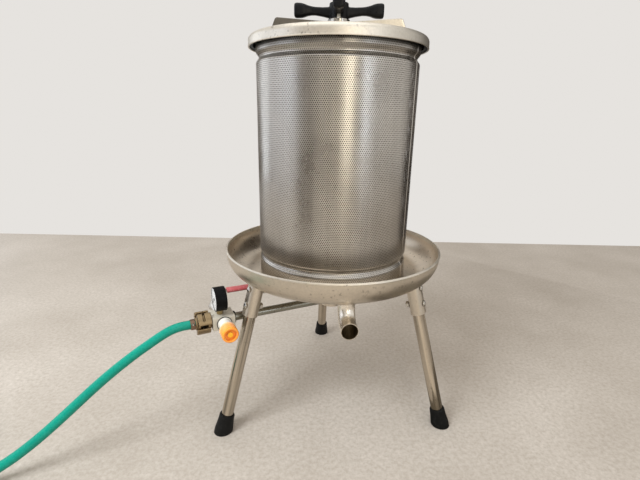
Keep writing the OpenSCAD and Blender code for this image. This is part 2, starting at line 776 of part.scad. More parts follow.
// Drain valve on the block's back face
module drain_body() {
    color("gainsboro") difference() {
        union() {
            to_back(tap_s, -block_w / 2) cylinder(d = drain_d, h = drain_l);
            to_back(tap_s, -block_w / 2) hex(drain_d - 1, 7);
            at_feed(tap_s, -block_w / 2 - drain_mid) cylinder(r = stem_r + 4, h = boss_h);
        }
        to_back(tap_s, -block_w / 2) translate([0, 0, -1]) cylinder(d = ball_bore, h = drain_l + 2);
        to_back(tap_s, -block_w / 2 - drain_mid) cylinder(d = ball_d + 2 * run_gap, h = drain_l);
        at_feed(tap_s, -block_w / 2 - drain_mid) sphere(d = ball_d + 2 * run_gap);
        at_feed(tap_s, -block_w / 2 - drain_mid) cylinder(r = stem_r + run_gap / 4, h = boss_h + 1);
    }
}
module drain_end() {
    plug = drain_l - drain_mid - ball_d / 2 - 2 * run_gap;
    color("gainsboro") to_back(tap_s, -block_w / 2 - drain_l) difference() {
        union() {
            hex(drain_d - 1, drain_end_l);
            translate([0, 0, -plug]) cylinder(d = ball_d + 2 * run_gap - 2 * seat_gap, h = plug + 1);
        }
        translate([0, 0, -plug - 1]) cylinder(d = ball_bore, h = drain_end_l + plug + 2);
        translate([0, 0, 2]) cylinder(d = outlet_d, h = drain_end_l);
    }
}
module drain_ball() {
    color("gainsboro") at_feed(tap_s, -block_w / 2 - drain_mid) difference() {
        sphere(d = ball_d);
        rotate([0, 90, 0]) cylinder(d = ball_bore, h = 2 * ball_d, center = true);
        translate([0, 0, ball_d / 2 - 2]) cylinder(r = stem_r + seat_gap, h = ball_d);
    }
}
module drain_stem() {
    color("gainsboro") at_feed(tap_s, -block_w / 2 - drain_mid, ball_d / 2 - 2)
        cylinder(r = stem_r, h = lever_up + 8 - ball_d / 2);
}
module at_lever() { at_feed(tap_s, -block_w / 2 - drain_mid, lever_up) rotate([0, 0, 180]) children(); }
module drain_lever() {
    color("gainsboro") at_lever() translate([0, 0, -lever_t]) difference() {
        union() {
            cylinder(d = lever_w, h = lever_t);
            translate([0, -lever_w / 2 + 2, 0]) cube([lever_l - 4, lever_w - 4, lever_t]);
        }
        translate([0, 0, -1]) cylinder(r = stem_r + seat_gap, h = lever_t + 2);
    }
}
module lever_sleeve() {
    color("crimson") at_lever() translate([lever_l - sleeve_l, 0, -lever_t / 2]) difference() {
        rotate([90, 0, 90]) linear_extrude(sleeve_l) union() {
            square([lever_w - sleeve_h + 2, sleeve_h], center = true);
            for (side = [-1, 1]) translate([side * (lever_w - sleeve_h + 2) / 2, 0]) circle(d = sleeve_h);
        }
        translate([-1, -lever_w / 2 + 2 - seat_gap, -lever_t / 2 - seat_gap])
            cube([sleeve_l - 4 + 1 + seat_gap, lever_w - 4 + 2 * seat_gap, lever_t + 2 * seat_gap]);
    }
}
module lever_nut() {
    color("gainsboro") at_lever() difference() {
        hex(3 * stem_r + 1, 5);
        translate([0, 0, -1]) cylinder(r = stem_r + seat_gap, h = 8);
    }
}

// Claw coupling: two like halves, each with two claws that hook behind the other half's flange
module claw_arc(inner, from, to) {
    translate([0, 0, from]) rotate_extrude(angle = 70)
        translate([inner, 0]) square([claw_d / 2 - inner, to - from]);
}
module claw_half(bore) {
    flange_r = claw_d / 2 - 5;
    flange_t = 5;
    back = 4;
    hook = 2 * claw_l - back + run_gap;
    difference() {
        union() {
            cylinder(r = flange_r - 5, h = claw_l - 1.5);
            translate([0, 0, back]) cylinder(r = flange_r, h = flange_t);
        }
        translate([0, 0, -1]) cylinder(r = bore, h = claw_l + 2);
        translate([0, 0, claw_l - 3.5]) cylinder(r = flange_r - 8, h = claw_l);
    }
    for (a = [10, 190]) rotate([0, 0, a]) {
        claw_arc(flange_r - 1, back, back + flange_t);
        claw_arc(flange_r + run_gap, back, hook + 2.5);
        claw_arc(flange_r - 3, hook, hook + 2.5);
    }
}
module claw_block() { color("olive") along_feed(block_end) claw_half(port_r); }
module claw_hose() {
    color("olive") along_feed(hose_s) rotate([180, 0, 0]) claw_half(hose_bore / 2 - 2);
    color("olive") along_feed(hose_s - 1)
        ring_solid(hose_bore / 2 - seat_gap, hose_bore / 2 - 2, clip_w + 5);
}
module claw_seal() {
    color("black") along_feed(claw_s - 3.5)
        ring_solid(claw_d / 2 - 13 - seat_gap, port_r + 2, 7);
}

// Hose end, clip, free stretch, coil and tail
module hose_cuff() {
    color("mediumseagreen") along_feed(hose_s)
        ring_solid(hose_r, hose_bore / 2, hose_route[0][0] - hose_s);
}
module hose_clip() {
    band_r = hose_r + seat_gap + clip_t;
    color("saddlebrown") along_feed(hose_s + 1) difference() {
        union() {
            cylinder(r = band_r, h = clip_w);
            translate([-4, band_r - 1, 0]) cube([8, 7, clip_w]);
        }
        translate([0, 0, -1]) cylinder(r = hose_r + seat_gap, h = clip_w + 2);
        translate([-10, band_r + 2.5, clip_w / 2]) rotate([0, 90, 0]) cylinder(r = 2 + seat_gap, h = 20);
    }
}
module clip_screw() {
    band_r = hose_r + seat_gap + clip_t;
    color("gainsboro") along_feed(hose_s + 1) translate([-6, band_r + 2.5, clip_w / 2])
        rotate([0, 90, 0]) union() {
            cylinder(r = 2, h = 10);
            translate([0, 0, -2]) hex(5, 4);
        }
}
module in_feed_plane() { rotate([0, 0, feed_az]) children(); }
module supply_hose() {
    color("mediumseagreen") in_feed_plane()
        tube_along([for (p = hose_route) [p[0], 0, p[1]]], hose_r, 10);
}
module hose_coil() { color("mediumseagreen") in_feed_plane() tube_along(coil_path, hose_r, 6, 1); }
module hose_tail() {
    color("mediumseagreen") in_feed_plane()
        tube_along([for (p = tail_route) [tail_s, p[0], p[1]]], hose_r, 10);
}
// Tie: a flat band round the turns of the coil at one place
module coil_tie() {
    slack = 1;
    inner = coil_radius(tie_turn + 1) - hose_r - slack;
    outer = coil_radius(tie_turn + 3) + hose_r + slack;
    low = coil_start[1] - hose_r - 0.3;
    high = coil_start[1] + layer_step + hose_r + slack;
    wide = outer - inner;
    tall = high - low;
    color("black") in_feed_plane() translate([coil_mid[0], coil_mid[1], 0])
        rotate([90, 0, 90 - 360 * tie_turn]) linear_extrude(tie_w, center = true) difference() {
            translate([inner - tie_t, low - tie_t]) square([wide + 2 * tie_t, tall + 2 * tie_t]);
            translate([inner, low]) square([wide, tall]);
        }
}
module tap_connector() {
    end = tail_route[len(tail_route) - 1];
    color("olive") in_feed_plane() translate([tail_s, end[0], end[1]]) rotate([90, 0, 0]) difference() {
        union() {
            cylinder(d = tap_d - 4, h = tap_l);
            translate([0, 0, 4]) cylinder(d = tap_d, h = tap_l / 3);
            translate([0, 0, tap_l - 16]) hex(tap_d - 3, 16);
        }
        translate([0, 0, tap_l - 14]) cylinder(d = tap_bore, h = 20);
    }
}

juice_tray();
spout_tube();
socket(0);  // socket_left
socket(1);  // socket_right
socket(2);  // socket_back
leg(0);  // leg_left
leg(1);  // leg_right
leg(2);  // leg_back
foot(0);  // foot_left
foot(1);  // foot_right
foot(2);  // foot_back
leg_bolts();
leg_nuts();
inlet_hub();
tie_rod();
core_tube();
core_cap();
base_plate();
bladder();
clamp_lower();
clamp_upper();
basket_shell();
lid_shell();
lid_seal();
crossbar();
thrust_washer();
cross_handle();
handle_insert();
feed_pipe();
pipe_gasket();
manifold_block();
gauge_stem();
gauge_case();
gauge_movement();
gauge_dial();
gauge_needle();
gauge_lens();
safety_neck();
safety_spindle();
safety_spring();
safety_cap();
drain_body();
drain_end();
drain_ball();
drain_stem();
drain_lever();
lever_sleeve();
lever_nut();
claw_block();
claw_seal();
claw_hose();
hose_cuff();
hose_clip();
clip_screw();
supply_hose();
hose_coil();
hose_tail();
coil_tie();
tap_connector();
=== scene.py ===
# %% [markdown]
# A hydraulic fruit press: a rubber bladder on a centre post swells with mains water and
# squeezes the fruit outwards against a perforated basket, and the juice runs down into the
# tray and out of the spout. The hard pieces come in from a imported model, already in place and
# in metres. This lesson dresses them: it adds the holes, threads, welds, rubber and finishes.

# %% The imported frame
import json
import math

import bmesh
import bpy
import numpy as np
from mathutils import Matrix, Vector

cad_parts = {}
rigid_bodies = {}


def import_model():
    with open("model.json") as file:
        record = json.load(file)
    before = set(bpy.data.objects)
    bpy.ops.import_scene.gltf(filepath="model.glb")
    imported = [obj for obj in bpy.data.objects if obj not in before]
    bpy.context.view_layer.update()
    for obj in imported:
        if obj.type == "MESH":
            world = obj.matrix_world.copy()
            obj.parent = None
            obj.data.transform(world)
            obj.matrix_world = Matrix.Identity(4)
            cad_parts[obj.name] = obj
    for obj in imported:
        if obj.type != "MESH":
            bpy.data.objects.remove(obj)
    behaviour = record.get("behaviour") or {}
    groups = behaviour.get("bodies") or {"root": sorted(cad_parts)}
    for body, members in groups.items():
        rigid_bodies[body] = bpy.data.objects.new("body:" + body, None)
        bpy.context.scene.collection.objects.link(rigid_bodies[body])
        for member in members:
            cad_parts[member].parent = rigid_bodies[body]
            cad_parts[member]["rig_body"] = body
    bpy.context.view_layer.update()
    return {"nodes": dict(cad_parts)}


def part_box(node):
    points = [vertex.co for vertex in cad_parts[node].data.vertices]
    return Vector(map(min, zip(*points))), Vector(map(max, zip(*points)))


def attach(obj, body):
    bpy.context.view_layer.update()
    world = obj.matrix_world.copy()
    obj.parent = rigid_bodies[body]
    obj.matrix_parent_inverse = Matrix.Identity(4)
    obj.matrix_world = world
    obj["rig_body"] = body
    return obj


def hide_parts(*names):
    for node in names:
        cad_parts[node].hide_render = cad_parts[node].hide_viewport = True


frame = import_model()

scene = bpy.context.scene
nodes = frame["nodes"]
print("pieces in the frame:", len(nodes))

# %% [markdown]
# The camera stands where the picture was taken: a little under a metre away, at about the
# height of the basket's upper half, looking slightly down. Its place and its lens were worked
# out from the ring of the tray, the feet and the lid, so the turn of the view is given here as
# three plain axes: to the right, up and forwards.

# %% Camera
PHOTO_WIDTH = 640
LENS_PIXELS = 410.7
SENSOR = 36.0


def in_scene(name, data):
    """A new object with this mesh, curve, lamp or lens, placed in the scene."""
    thing = bpy.data.objects.new(name, data)
    scene.collection.objects.link(thing)
    return thing


eye = Vector((-0.0904, -0.9047, 0.6756))
to_right = Vector((0.99790, -0.06217, 0.01803))
forwards = Vector((0.06472, 0.95432, -0.29171)).normalized()
upwards = to_right.cross(forwards).normalized()
to_right = forwards.cross(upwards).normalized()

camera = in_scene("photo_camera", bpy.data.cameras.new("photo_camera"))
camera.data.sensor_fit = "HORIZONTAL"
camera.data.sensor_width = SENSOR
camera.data.lens = LENS_PIXELS * SENSOR / PHOTO_WIDTH
camera.matrix_world = Matrix((
    (to_right.x, upwards.x, -forwards.x, eye.x),
    (to_right.y, upwards.y, -forwards.y, eye.y),
    (to_right.z, upwards.z, -forwards.z, eye.z),
    (0, 0, 0, 1)))
scene.camera = camera
print("lens", round(camera.data.lens, 2), "mm, eye", [round(v, 3) for v in eye])

# %% [markdown]
# Two places repeat all over the press, so they get a frame each. The feed line runs out from
# the post to the hose: s is the way along it, and e across it towards the front. A leg leans
# out from the tray: its own z runs up the tube.

# %% Frames of the feed line and the legs
MM = 0.001
FEED_BEARING = math.radians(202)
FEED_HEIGHT = 252
LEG_BEARINGS = {"left": 210, "right": 330, "back": 90}
LEG_TILT = math.radians(15.5)
FOOT_RING = 284

feed_frame = Matrix.Rotation(FEED_BEARING, 4, "Z") @ Matrix.Translation((0, 0, FEED_HEIGHT * MM))


def feed_point(s, e, height):
    """A place beside the feed line in metres; height is over the ground, all given in mm."""
    return feed_frame @ Vector((s * MM, e * MM, (height - FEED_HEIGHT) * MM))


def leg_frame(side):
    turn = Matrix.Rotation(math.radians(LEG_BEARINGS[side]), 4, "Z")
    return turn @ Matrix.Translation((FOOT_RING * MM, 0, 0)) @ Matrix.Rotation(-LEG_TILT, 4, "Y")


# %% [markdown]
# The supply hose is 19 mm garden hose. It leaves the coupling level, droops under its own
# weight, meets the floor and runs on out of the picture. The rest is out of sight, so it is
# wound up as for storage: three and a quarter turns in two layers, held by a tie, with a tap
# connector on the end. A hose hangs by no simple rule, so the droop is a short list of given
# points. The coil does follow a rule, so a loop works it out.

# %% Route of the hose
HOSE_DIAMETER = 19
droop = [(319, 252), (326, 252), (333, 252), (346, 252), (360, 250), (374, 245.5), (388, 239),
         (402, 231.5), (417, 223), (432, 214.5), (460, 197), (490, 176.5), (520, 154), (550, 130),
         (580, 106), (610, 83), (640, 62), (670, 44), (700, 30), (735, 19), (775, 13), (820, 11.5),
         (850, 11.5)]
COIL_MIDDLE = (880, -121)
COIL_RADIUS = 121
COIL_STEP = 20
COIL_LOW = 11.5
TURNS_IN = 1.5
TURNS = 3.25
tail = [(-140, 31.5), (-166, 31.5), (-190, 29), (-215, 24), (-240, 18.5), (-265, 14.5),
        (-290, 13.5), (-310, 13.5)]
TAIL_S = 1006
COIL_POINTS = 78
CROSSING_FROM, CROSSING_TURNS = 1.25, 0.5


def held(value):
    """The value, held between nothing and one."""
    return min(1, max(0, value))


def coil_place(turn):
    spiral = turn if turn < TURNS_IN else 2 * TURNS_IN - turn
    radius = COIL_RADIUS - COIL_STEP * spiral
    angle = math.radians(90 - 360 * turn)
    climb = held((turn - CROSSING_FROM) / CROSSING_TURNS)
    height = COIL_LOW + COIL_STEP * (1 - math.cos(math.pi * climb)) / 2
    return feed_point(COIL_MIDDLE[0] + radius * math.cos(angle),
                      COIL_MIDDLE[1] + radius * math.sin(angle), height)


hose_path = [feed_point(s, 0, z) for s, z in droop]
hose_path += [coil_place(TURNS * i / COIL_POINTS) for i in range(COIL_POINTS + 1)]
hose_path += [feed_point(TAIL_S, e, z) for e, z in tail]
print("hose points:", len(hose_path))

# %% [markdown]
# The hose could be a chain of cylinders, but every joint would show. One curve with round
# thickness is the right thing for it, because a curve keeps its length and stays smooth from
# close by. The thickness is given by the radius at each point, with a plain bevel of one,
# because Blender takes that radius to find how much room the curve needs.

# %% Hose
hose_curve = bpy.data.curves.new("water_hose", "CURVE")
hose_curve.dimensions = "3D"
hose_curve.bevel_depth = 1.0
hose_curve.bevel_resolution = 8
hose_curve.resolution_u = 5
hose_curve.use_fill_caps = True
run = hose_curve.splines.new("BEZIER")
run.bezier_points.add(len(hose_path) - 1)
for knot, place in zip(run.bezier_points, hose_path):
    knot.co = place
    knot.radius = HOSE_DIAMETER / 2 * MM
    knot.handle_left_type = knot.handle_right_type = "AUTO"
water_hose = in_scene("water_hose", hose_curve)
bpy.context.view_layer.update()

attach(water_hose, "stand")
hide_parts("hose_cuff", "supply_hose", "hose_coil", "hose_tail")

# %% [markdown]
# The press stands on a pale concrete floor. A floor without end would fill the picture up to
# the horizon, so this one is a plain sheet that ends a little behind the press, where the pale
# surroundings begin. They are one even colour, and light the press softly from all sides.

# %% Floor and surroundings
FLOOR_REACH = 4
FLOOR_BACK_LEFT, FLOOR_BACK_RIGHT = 1.60, 1.03
floor_mesh = bpy.data.meshes.new("hall_floor")
floor_mesh.from_pydata([(-FLOOR_REACH, -FLOOR_REACH, 0), (FLOOR_REACH, -FLOOR_REACH, 0),
                        (FLOOR_REACH, FLOOR_BACK_RIGHT, 0), (-FLOOR_REACH, FLOOR_BACK_LEFT, 0)],
                       [], [(0, 1, 2, 3)])
hall_floor = in_scene("hall_floor", floor_mesh)

scene.view_settings.view_transform = "Standard"
surroundings = scene.world or bpy.data.worlds.new("surroundings")
scene.world = surroundings
surroundings.use_nodes = True
backdrop = surroundings.node_tree.nodes["Background"]
backdrop.inputs["Color"].default_value = (0.791, 0.767, 0.737, 1)
backdrop.inputs["Strength"].default_value = 1.0
print("floor reaches", FLOOR_REACH, "m to each side")

# %% [markdown]
# The light is that of a hall: bright and even from above, cool from the left, and two tall
# soft lights in front. A single lamp would leave hard shadows, and tall lights matter here,
# since a round steel wall shows each one as an upright band. The strong light on the left is
# kept out of mirror images, because it would burn a white patch into the lid: it is there for
# the floor.

# %% Lights
def soft_light(name, place, aim, width, height, watts, colour):
    lamp = bpy.data.lights.new(name, "AREA")
    lamp.shape = "RECTANGLE"
    lamp.size = width
    lamp.size_y = height
    lamp.energy = watts
    lamp.color = colour
    holder = in_scene(name, lamp)
    holder.location = place
    holder.rotation_euler = (Vector(aim) - Vector(place)).to_track_quat("-Z", "Y").to_euler()
    holder.visible_camera = False
    return holder


soft_light("roof_light", (-0.2, -0.3, 2.7), (0, 0, 0.4), 2.4, 2.4, 14, (1.0, 0.98, 0.95))
left_key = soft_light("left_key", (-1.9, -1.5, 2.4), (-0.75, -0.65, 0.0), 1.3, 1.3, 94,
                      (0.86, 0.93, 1.0))
left_key.visible_glossy = False
soft_light("left_window", (-2.1, 1.35, 1.0), (0, 0, 0.55), 0.9, 1.7, 5, (0.76, 0.86, 1.0))
soft_light("warm_strip", (0.45, -2.5, 1.1), (0, 0, 0.6), 0.24, 1.7, 8, (1.0, 0.92, 0.76))
soft_light("cool_strip", (1.31, -1.96, 1.1), (0, 0, 0.6), 0.35, 1.7, 5, (0.82, 0.89, 1.0))

# %% [markdown]
# Steel also mirrors what stands round it, and with nothing there it looks like grey paint.
# Six plain panels stand in for the darker and lighter sides of the hall, and for the press's
# own shade on the floor. Only shiny surfaces see them, so they cast no shadow and can stand
# where a real board would be in the way.

# %% Panels
def reflector(name, corners):
    """A panel that only shiny surfaces see, as the far sides of the hall would be seen."""
    mesh = bpy.data.meshes.new(name)
    mesh.from_pydata(corners, [], [(0, 1, 2, 3)])
    panel = in_scene(name, mesh)
    panel.visible_camera = panel.visible_diffuse = panel.visible_shadow = False
    return panel


def standing(x0, y0, x1, y1, top):
    return [(x0, y0, 0), (x1, y1, 0), (x1, y1, top), (x0, y0, top)]


dark_flag = reflector("dark_flag", standing(0.45, 1.28, 1.36, 0.36, 1.9))
left_flag = reflector("left_flag", standing(-0.40, 1.25, -1.05, 0.92, 1.3))
OVER_FLOOR = 0.003
low_flag = reflector("low_flag", [(0.15, -0.30, OVER_FLOOR), (0.75, -0.42, OVER_FLOOR),
                                  (0.85, 0.60, OVER_FLOOR), (0.25, 0.62, OVER_FLOOR)])
front_flag = reflector("front_flag", standing(-1.55, -0.95, -0.80, -1.25, 1.72))
far_wall = reflector("far_wall", standing(-1.9, -3.1, 2.6, -3.1, 2.2))
side_wall = reflector("side_wall", standing(-3.0, -2.6, -3.0, 1.3, 2.2))
panels = (dark_flag, left_flag, low_flag, front_flag, far_wall, side_wall)
print("panels:", [panel.name for panel in panels])

# %% [markdown]
# A finish is a small net of nodes. Real surfaces are never one colour: they have clouds of
# slightly different tone, small marks, and a gloss that changes from place to place. Painted
# pictures could show that, but each piece would have to be unwrapped for them. A pattern that
# is worked out from the place on the piece needs no unwrapping and has no seams. The first
# helpers start a finish, say where on the piece we are, and give a cloudy pattern.

# %% Places and patterns
def start_finish(name, roughness, metallic=0.0):
    finish = bpy.data.materials.new(name)
    finish.use_nodes = True
    shader = finish.node_tree.nodes["Principled BSDF"]
    shader.inputs["Roughness"].default_value = roughness
    shader.inputs["Metallic"].default_value = metallic
    return finish, finish.node_tree, shader


def places(tree, stretch=(1, 1, 1), lie=None):
    where = tree.nodes.new("ShaderNodeTexCoord")
    scale = tree.nodes.new("ShaderNodeMapping")
    scale.inputs["Scale"].default_value = stretch
    if lie:
        scale.vector_type = "TEXTURE"
        scale.inputs["Rotation"].default_value = lie.to_euler()
        scale.inputs["Scale"].default_value = [1 / s for s in stretch]
    tree.links.new(where.outputs["Object"], scale.inputs["Vector"])
    return scale.outputs["Vector"]


def clouds(tree, where, size, detail=4.0, roughness=0.55):
    noise = tree.nodes.new("ShaderNodeTexNoise")
    noise.inputs["Scale"].default_value = 1 / size
    noise.inputs["Detail"].default_value = detail
    noise.inputs["Roughness"].default_value = roughness
    tree.links.new(where, noise.inputs["Vector"])
    return noise.outputs["Fac"]


print("patterns ready")

# %% [markdown]
# A pattern alone is only a grey cloud. The next helpers turn it into a look: a set of colours
# laid over it, one colour laid over another, the pattern stretched between two values for the
# gloss, and a fine unevenness that bends the light without moving the surface.

# %% Colours and unevenness from patterns
def tones(tree, pattern, stops):
    ramp = tree.nodes.new("ShaderNodeValToRGB")
    band = ramp.color_ramp
    while len(band.elements) < len(stops):
        band.elements.new(0.5)
    for element, (at, colour) in zip(band.elements, stops):
        element.position = at
        element.color = (*colour, 1)
    tree.links.new(pattern, ramp.inputs["Fac"])
    return ramp.outputs["Color"]


def layer(tree, amount, under, over):
    mix = tree.nodes.new("ShaderNodeMix")
    mix.data_type = "RGBA"
    tree.links.new(amount, mix.inputs["Factor"])
    colours = [s for s in mix.inputs if s.type == "RGBA"]
    for socket, value in zip(colours, (under, over)):
        if isinstance(value, tuple):
            socket.default_value = (*value, 1)
        else:
            tree.links.new(value, socket)
    return [s for s in mix.outputs if s.type == "RGBA"][0]


def spread(tree, pattern, low, high, from_low=0.3, from_high=0.7):
    span = tree.nodes.new("ShaderNodeMapRange")
    span.inputs["From Min"].default_value = from_low
    span.inputs["From Max"].default_value = from_high
    span.inputs["To Min"].default_value = low
    span.inputs["To Max"].default_value = high
    tree.links.new(pattern, span.inputs["Value"])
    return span.outputs["Result"]


def uneven(tree, shader, pattern, depth_mm, strength=1.0):
    bump = tree.nodes.new("ShaderNodeBump")
    bump.inputs["Strength"].default_value = strength
    bump.inputs["Distance"].default_value = depth_mm * MM
    tree.links.new(pattern, bump.inputs["Height"])
    earlier = shader.inputs["Normal"].links
    if earlier:
        tree.links.new(earlier[0].from_socket, bump.inputs["Normal"])
    tree.links.new(bump.outputs["Normal"], shader.inputs["Normal"])


print("colours and unevenness ready")

# %% [markdown]
# Most of the press is stainless sheet that was pickled or blasted after welding, so it is
# a warm grey with a soft sheen, cloudy, and dotted with small dark juice marks. One recipe
# serves all the steels: the tint, the gloss, how far the grain is drawn out, and how much
# dirt there is tell them apart. A finish can also take painted shade along one axis, darker
# towards the side or end of a piece that lies in shade, and be rubbed bright on its edges.

# %% Recipe for worn steel, with painted shade
# How dark painted shade gets, as a share of the tint.
DULL = 0.22
SPOT_SIZE, PATCH_SIZE, DENT_SIZE = 0.008, 0.09, 0.16


def toned(tint, share):
    """The same colour, darker or lighter."""
    return tuple(min(1, share * c) for c in tint)


def worn_steel(name, tint, gloss, grain=(1, 1, 1), grain_size=0.004, marks=0.5,
               mark_tint=(0.10, 0.075, 0.05), cloud_size=0.12, dent_mm=0.25, rubbed=False,
               shaded=None, streaks=0.30, streak_share=0.62, lie=None):
    finish, tree, shader = start_finish(name, gloss, metallic=1.0)
    where = places(tree)
    drawn = places(tree, grain, lie)
    cloudy = clouds(tree, where, cloud_size, 5)
    body = tones(tree, cloudy, [(0.25, toned(tint, 0.80)), (0.52, tint), (0.8, toned(tint, 1.14))])
    fine = clouds(tree, drawn, grain_size, 3, 0.6)
    body = layer(tree, spread(tree, fine, 0.0, streaks), body, toned(tint, streak_share))
    spots = clouds(tree, where, SPOT_SIZE, 2, 0.5)
    patch = clouds(tree, where, PATCH_SIZE, 2, 0.5)
    mixed = tree.nodes.new("ShaderNodeMath")
    mixed.operation = "MULTIPLY"
    tree.links.new(spread(tree, spots, 0, 1, 0.62, 0.70), mixed.inputs[0])
    tree.links.new(spread(tree, patch, 0, marks, 0.40, 0.65), mixed.inputs[1])
    body = layer(tree, mixed.outputs["Value"], body, mark_tint)
    if rubbed:
        bend = tree.nodes.new("ShaderNodeNewGeometry").outputs["Pointiness"]
        body = layer(tree, spread(tree, bend, 0.9, 0, 0.40, 0.495), body, mark_tint)
        body = layer(tree, spread(tree, bend, 0, 0.8, 0.515, 0.60), body, toned(tint, 1.9))
    # Painted shade: the colour darkens along one axis towards a dark share of the tint.
    if shaded:
        axis, start, full, amount = shaded
        along = tree.nodes.new("ShaderNodeSeparateXYZ")
        tree.links.new(where, along.inputs["Vector"])
        depth = spread(tree, along.outputs[axis], 0, amount, start, full)
        body = layer(tree, depth, body, toned(tint, DULL))
    tree.links.new(body, shader.inputs["Base Color"])
    tree.links.new(spread(tree, cloudy, gloss - 0.07, gloss + 0.09), shader.inputs["Roughness"])
    uneven(tree, shader, clouds(tree, where, DENT_SIZE, 2), dent_mm * 6, 0.35)
    uneven(tree, shader, fine, 0.05, 0.30)
    return finish


print("recipe for worn steel ready")

# %% [markdown]
# With the recipe, each metal of the press is one call. The lid and the rims are pale and dull,
# the feed pipe is dark, and the coupling's brass is brown with rubbed edges. The legs are
# drawn tube, so their grain is stretched a long way. Each leg has a finish of its own, because
# its streaks have to lean as the leg does.

# %% Steels and brasses
LONG_DRAWN = (1, 1, 0.02)
satin_steel = worn_steel("satin_steel", (0.69, 0.62, 0.52), 0.36, marks=0.35)
# Painted shade: the lid and its lip darken towards the right side.
lid_steel = worn_steel("lid_steel", (0.88, 0.83, 0.735), 0.44, marks=0.4,
                       shaded=("X", 0.02, 0.155, 0.52))
rim_steel = worn_steel("rim_steel", (0.84, 0.785, 0.685), 0.46, marks=0.4)
# Painted shade: the crossbar darkens towards its left end, which lies in shade under the handle's
# arm.
bar_steel = worn_steel("bar_steel", (0.66, 0.615, 0.535), 0.32, marks=0.5, cloud_size=0.06,
                       shaded=("X", 0.05, -0.04, 0.86))
# Painted shade: the wall and its top rim darken towards the top, for the shadow under the lid.
basket_steel = worn_steel("basket_steel", (0.66, 0.625, 0.575), 0.30, grain=LONG_DRAWN,
                          grain_size=0.006, marks=0.15, shaded=("Z", 0.782, 0.803, 0.85))
# Dark brown inner skin: partly juice stain, partly painted shade for the basket's dim inside.
inner_steel = worn_steel("inner_steel", (0.17, 0.14, 0.105), 0.48, cloud_size=0.05, marks=0.5)
leg_steels = {side: worn_steel("leg_steel_" + side, (0.78, 0.69, 0.565), 0.14, grain=LONG_DRAWN,
                               grain_size=0.009, marks=0.5, streaks=0.9, streak_share=0.3,
                               lie=leg_frame(side)) for side in LEG_BEARINGS}
spout_steel = worn_steel("spout_steel", (0.98, 0.92, 0.82), 0.30, marks=0.35)
tray_inside = worn_steel("tray_inside", (0.76, 0.67, 0.555), 0.33, marks=1.0,
                         mark_tint=(0.13, 0.09, 0.055), cloud_size=0.07)
pipe_steel = worn_steel("pipe_steel", (0.29, 0.28, 0.235), 0.24, marks=0.8)
bright_steel = worn_steel("bright_steel", (0.60, 0.57, 0.52), 0.24, cloud_size=0.02, marks=0.5,
                          dent_mm=0.02)
stained_steel = worn_steel("stained_steel", (0.19, 0.145, 0.085), 0.50, cloud_size=0.02, marks=0.6)
coupling_brass = worn_steel("coupling_brass", (0.335, 0.25, 0.145), 0.38, cloud_size=0.014,
                            marks=1.0, mark_tint=(0.05, 0.04, 0.03), dent_mm=0.05, rubbed=True)
stem_brass = worn_steel("stem_brass", (0.45, 0.35, 0.18), 0.32, cloud_size=0.012, marks=0.7,
                        dent_mm=0.02)
clip_band = worn_steel("clip_band", (0.26, 0.17, 0.12), 0.45, cloud_size=0.010, marks=1.0,
                       mark_tint=(0.12, 0.05, 0.025), dent_mm=0.03)
metals = [m.name for m in bpy.data.materials if m.name.endswith(("steel", "brass", "band"))]
print("metals:", metals, "and a steel for each leg")

# %% [markdown]
# The rest is rubber and moulded plastic. One plain colour would look like a toy, because
# moulded pieces have a fine orange-peel skin, a gloss that is duller where hands have rubbed
# it, and dust in the dull places. So they share a recipe too: a cloudy tint, scuffs in a worn
# tint that also dull the gloss, and the fine skin as unevenness.

# %% Rubbers and plastics
SKIN_SIZE, SCUFF_SIZE = 0.0012, 0.008
SKIN_MM = 0.04


def moulded(name, tint, gloss, worn_tint, wear=0.25, cloud_size=0.03, sheen=0.5):
    finish, tree, shader = start_finish(name, gloss)
    where = places(tree)
    cloudy = clouds(tree, where, cloud_size, 5)
    body = tones(tree, cloudy, [(0.3, toned(tint, 0.86)), (0.7, tint)])
    scuffs = clouds(tree, where, SCUFF_SIZE, 6, 0.7)
    body = layer(tree, spread(tree, scuffs, 0, wear, 0.52, 0.75), body, worn_tint)
    tree.links.new(body, shader.inputs["Base Color"])
    tree.links.new(spread(tree, scuffs, gloss - 0.06, gloss + 0.16), shader.inputs["Roughness"])
    uneven(tree, shader, clouds(tree, where, SKIN_SIZE, 2), SKIN_MM, 0.5)
    shader.inputs["Specular IOR Level"].default_value = sheen
    return finish


black_rubber = moulded("black_rubber", (0.006, 0.006, 0.0056), 0.50, (0.05, 0.045, 0.04),
                       wear=0.3, sheen=0.15)
bladder_rubber = moulded("bladder_rubber", (0.012, 0.0115, 0.011), 0.5, (0.05, 0.045, 0.04),
                         wear=0.3, cloud_size=0.08, sheen=0.3)
black_plastic = moulded("black_plastic", (0.006, 0.006, 0.0065), 0.28, (0.03, 0.03, 0.03), wear=0.2,
                        sheen=0.16)
gauge_black = moulded("gauge_black", (0.0045, 0.0045, 0.005), 0.30, (0.02, 0.02, 0.02), wear=0.2,
                      sheen=0.07)
cream_plastic = moulded("cream_plastic", (0.57, 0.525, 0.43), 0.42, (0.30, 0.26, 0.20), wear=0.4)
neck_plastic = moulded("neck_plastic", (0.80, 0.77, 0.70), 0.35, (0.5, 0.46, 0.4), wear=0.3)
lever_red = moulded("lever_red", (0.54, 0.105, 0.11), 0.30, (0.80, 0.42, 0.42), wear=0.6)
dial_white = moulded("dial_white", (0.72, 0.71, 0.70), 0.5, (0.75, 0.75, 0.73), wear=0.1)
needle_black = moulded("needle_black", (0.01, 0.01, 0.01), 0.45, (0.05, 0.05, 0.05), wear=0.1)
button_yellow = moulded("button_yellow", (1.0, 0.50, 0.02), 0.28, (1.0, 0.65, 0.2), wear=0.2)
hose_green = moulded("hose_green", (0.003, 0.255, 0.180), 0.24, (0.04, 0.40, 0.30), wear=0.25,
                     cloud_size=0.05, sheen=0.24)
water_hose.data.materials.append(hose_green)
print("moulded finishes ready")

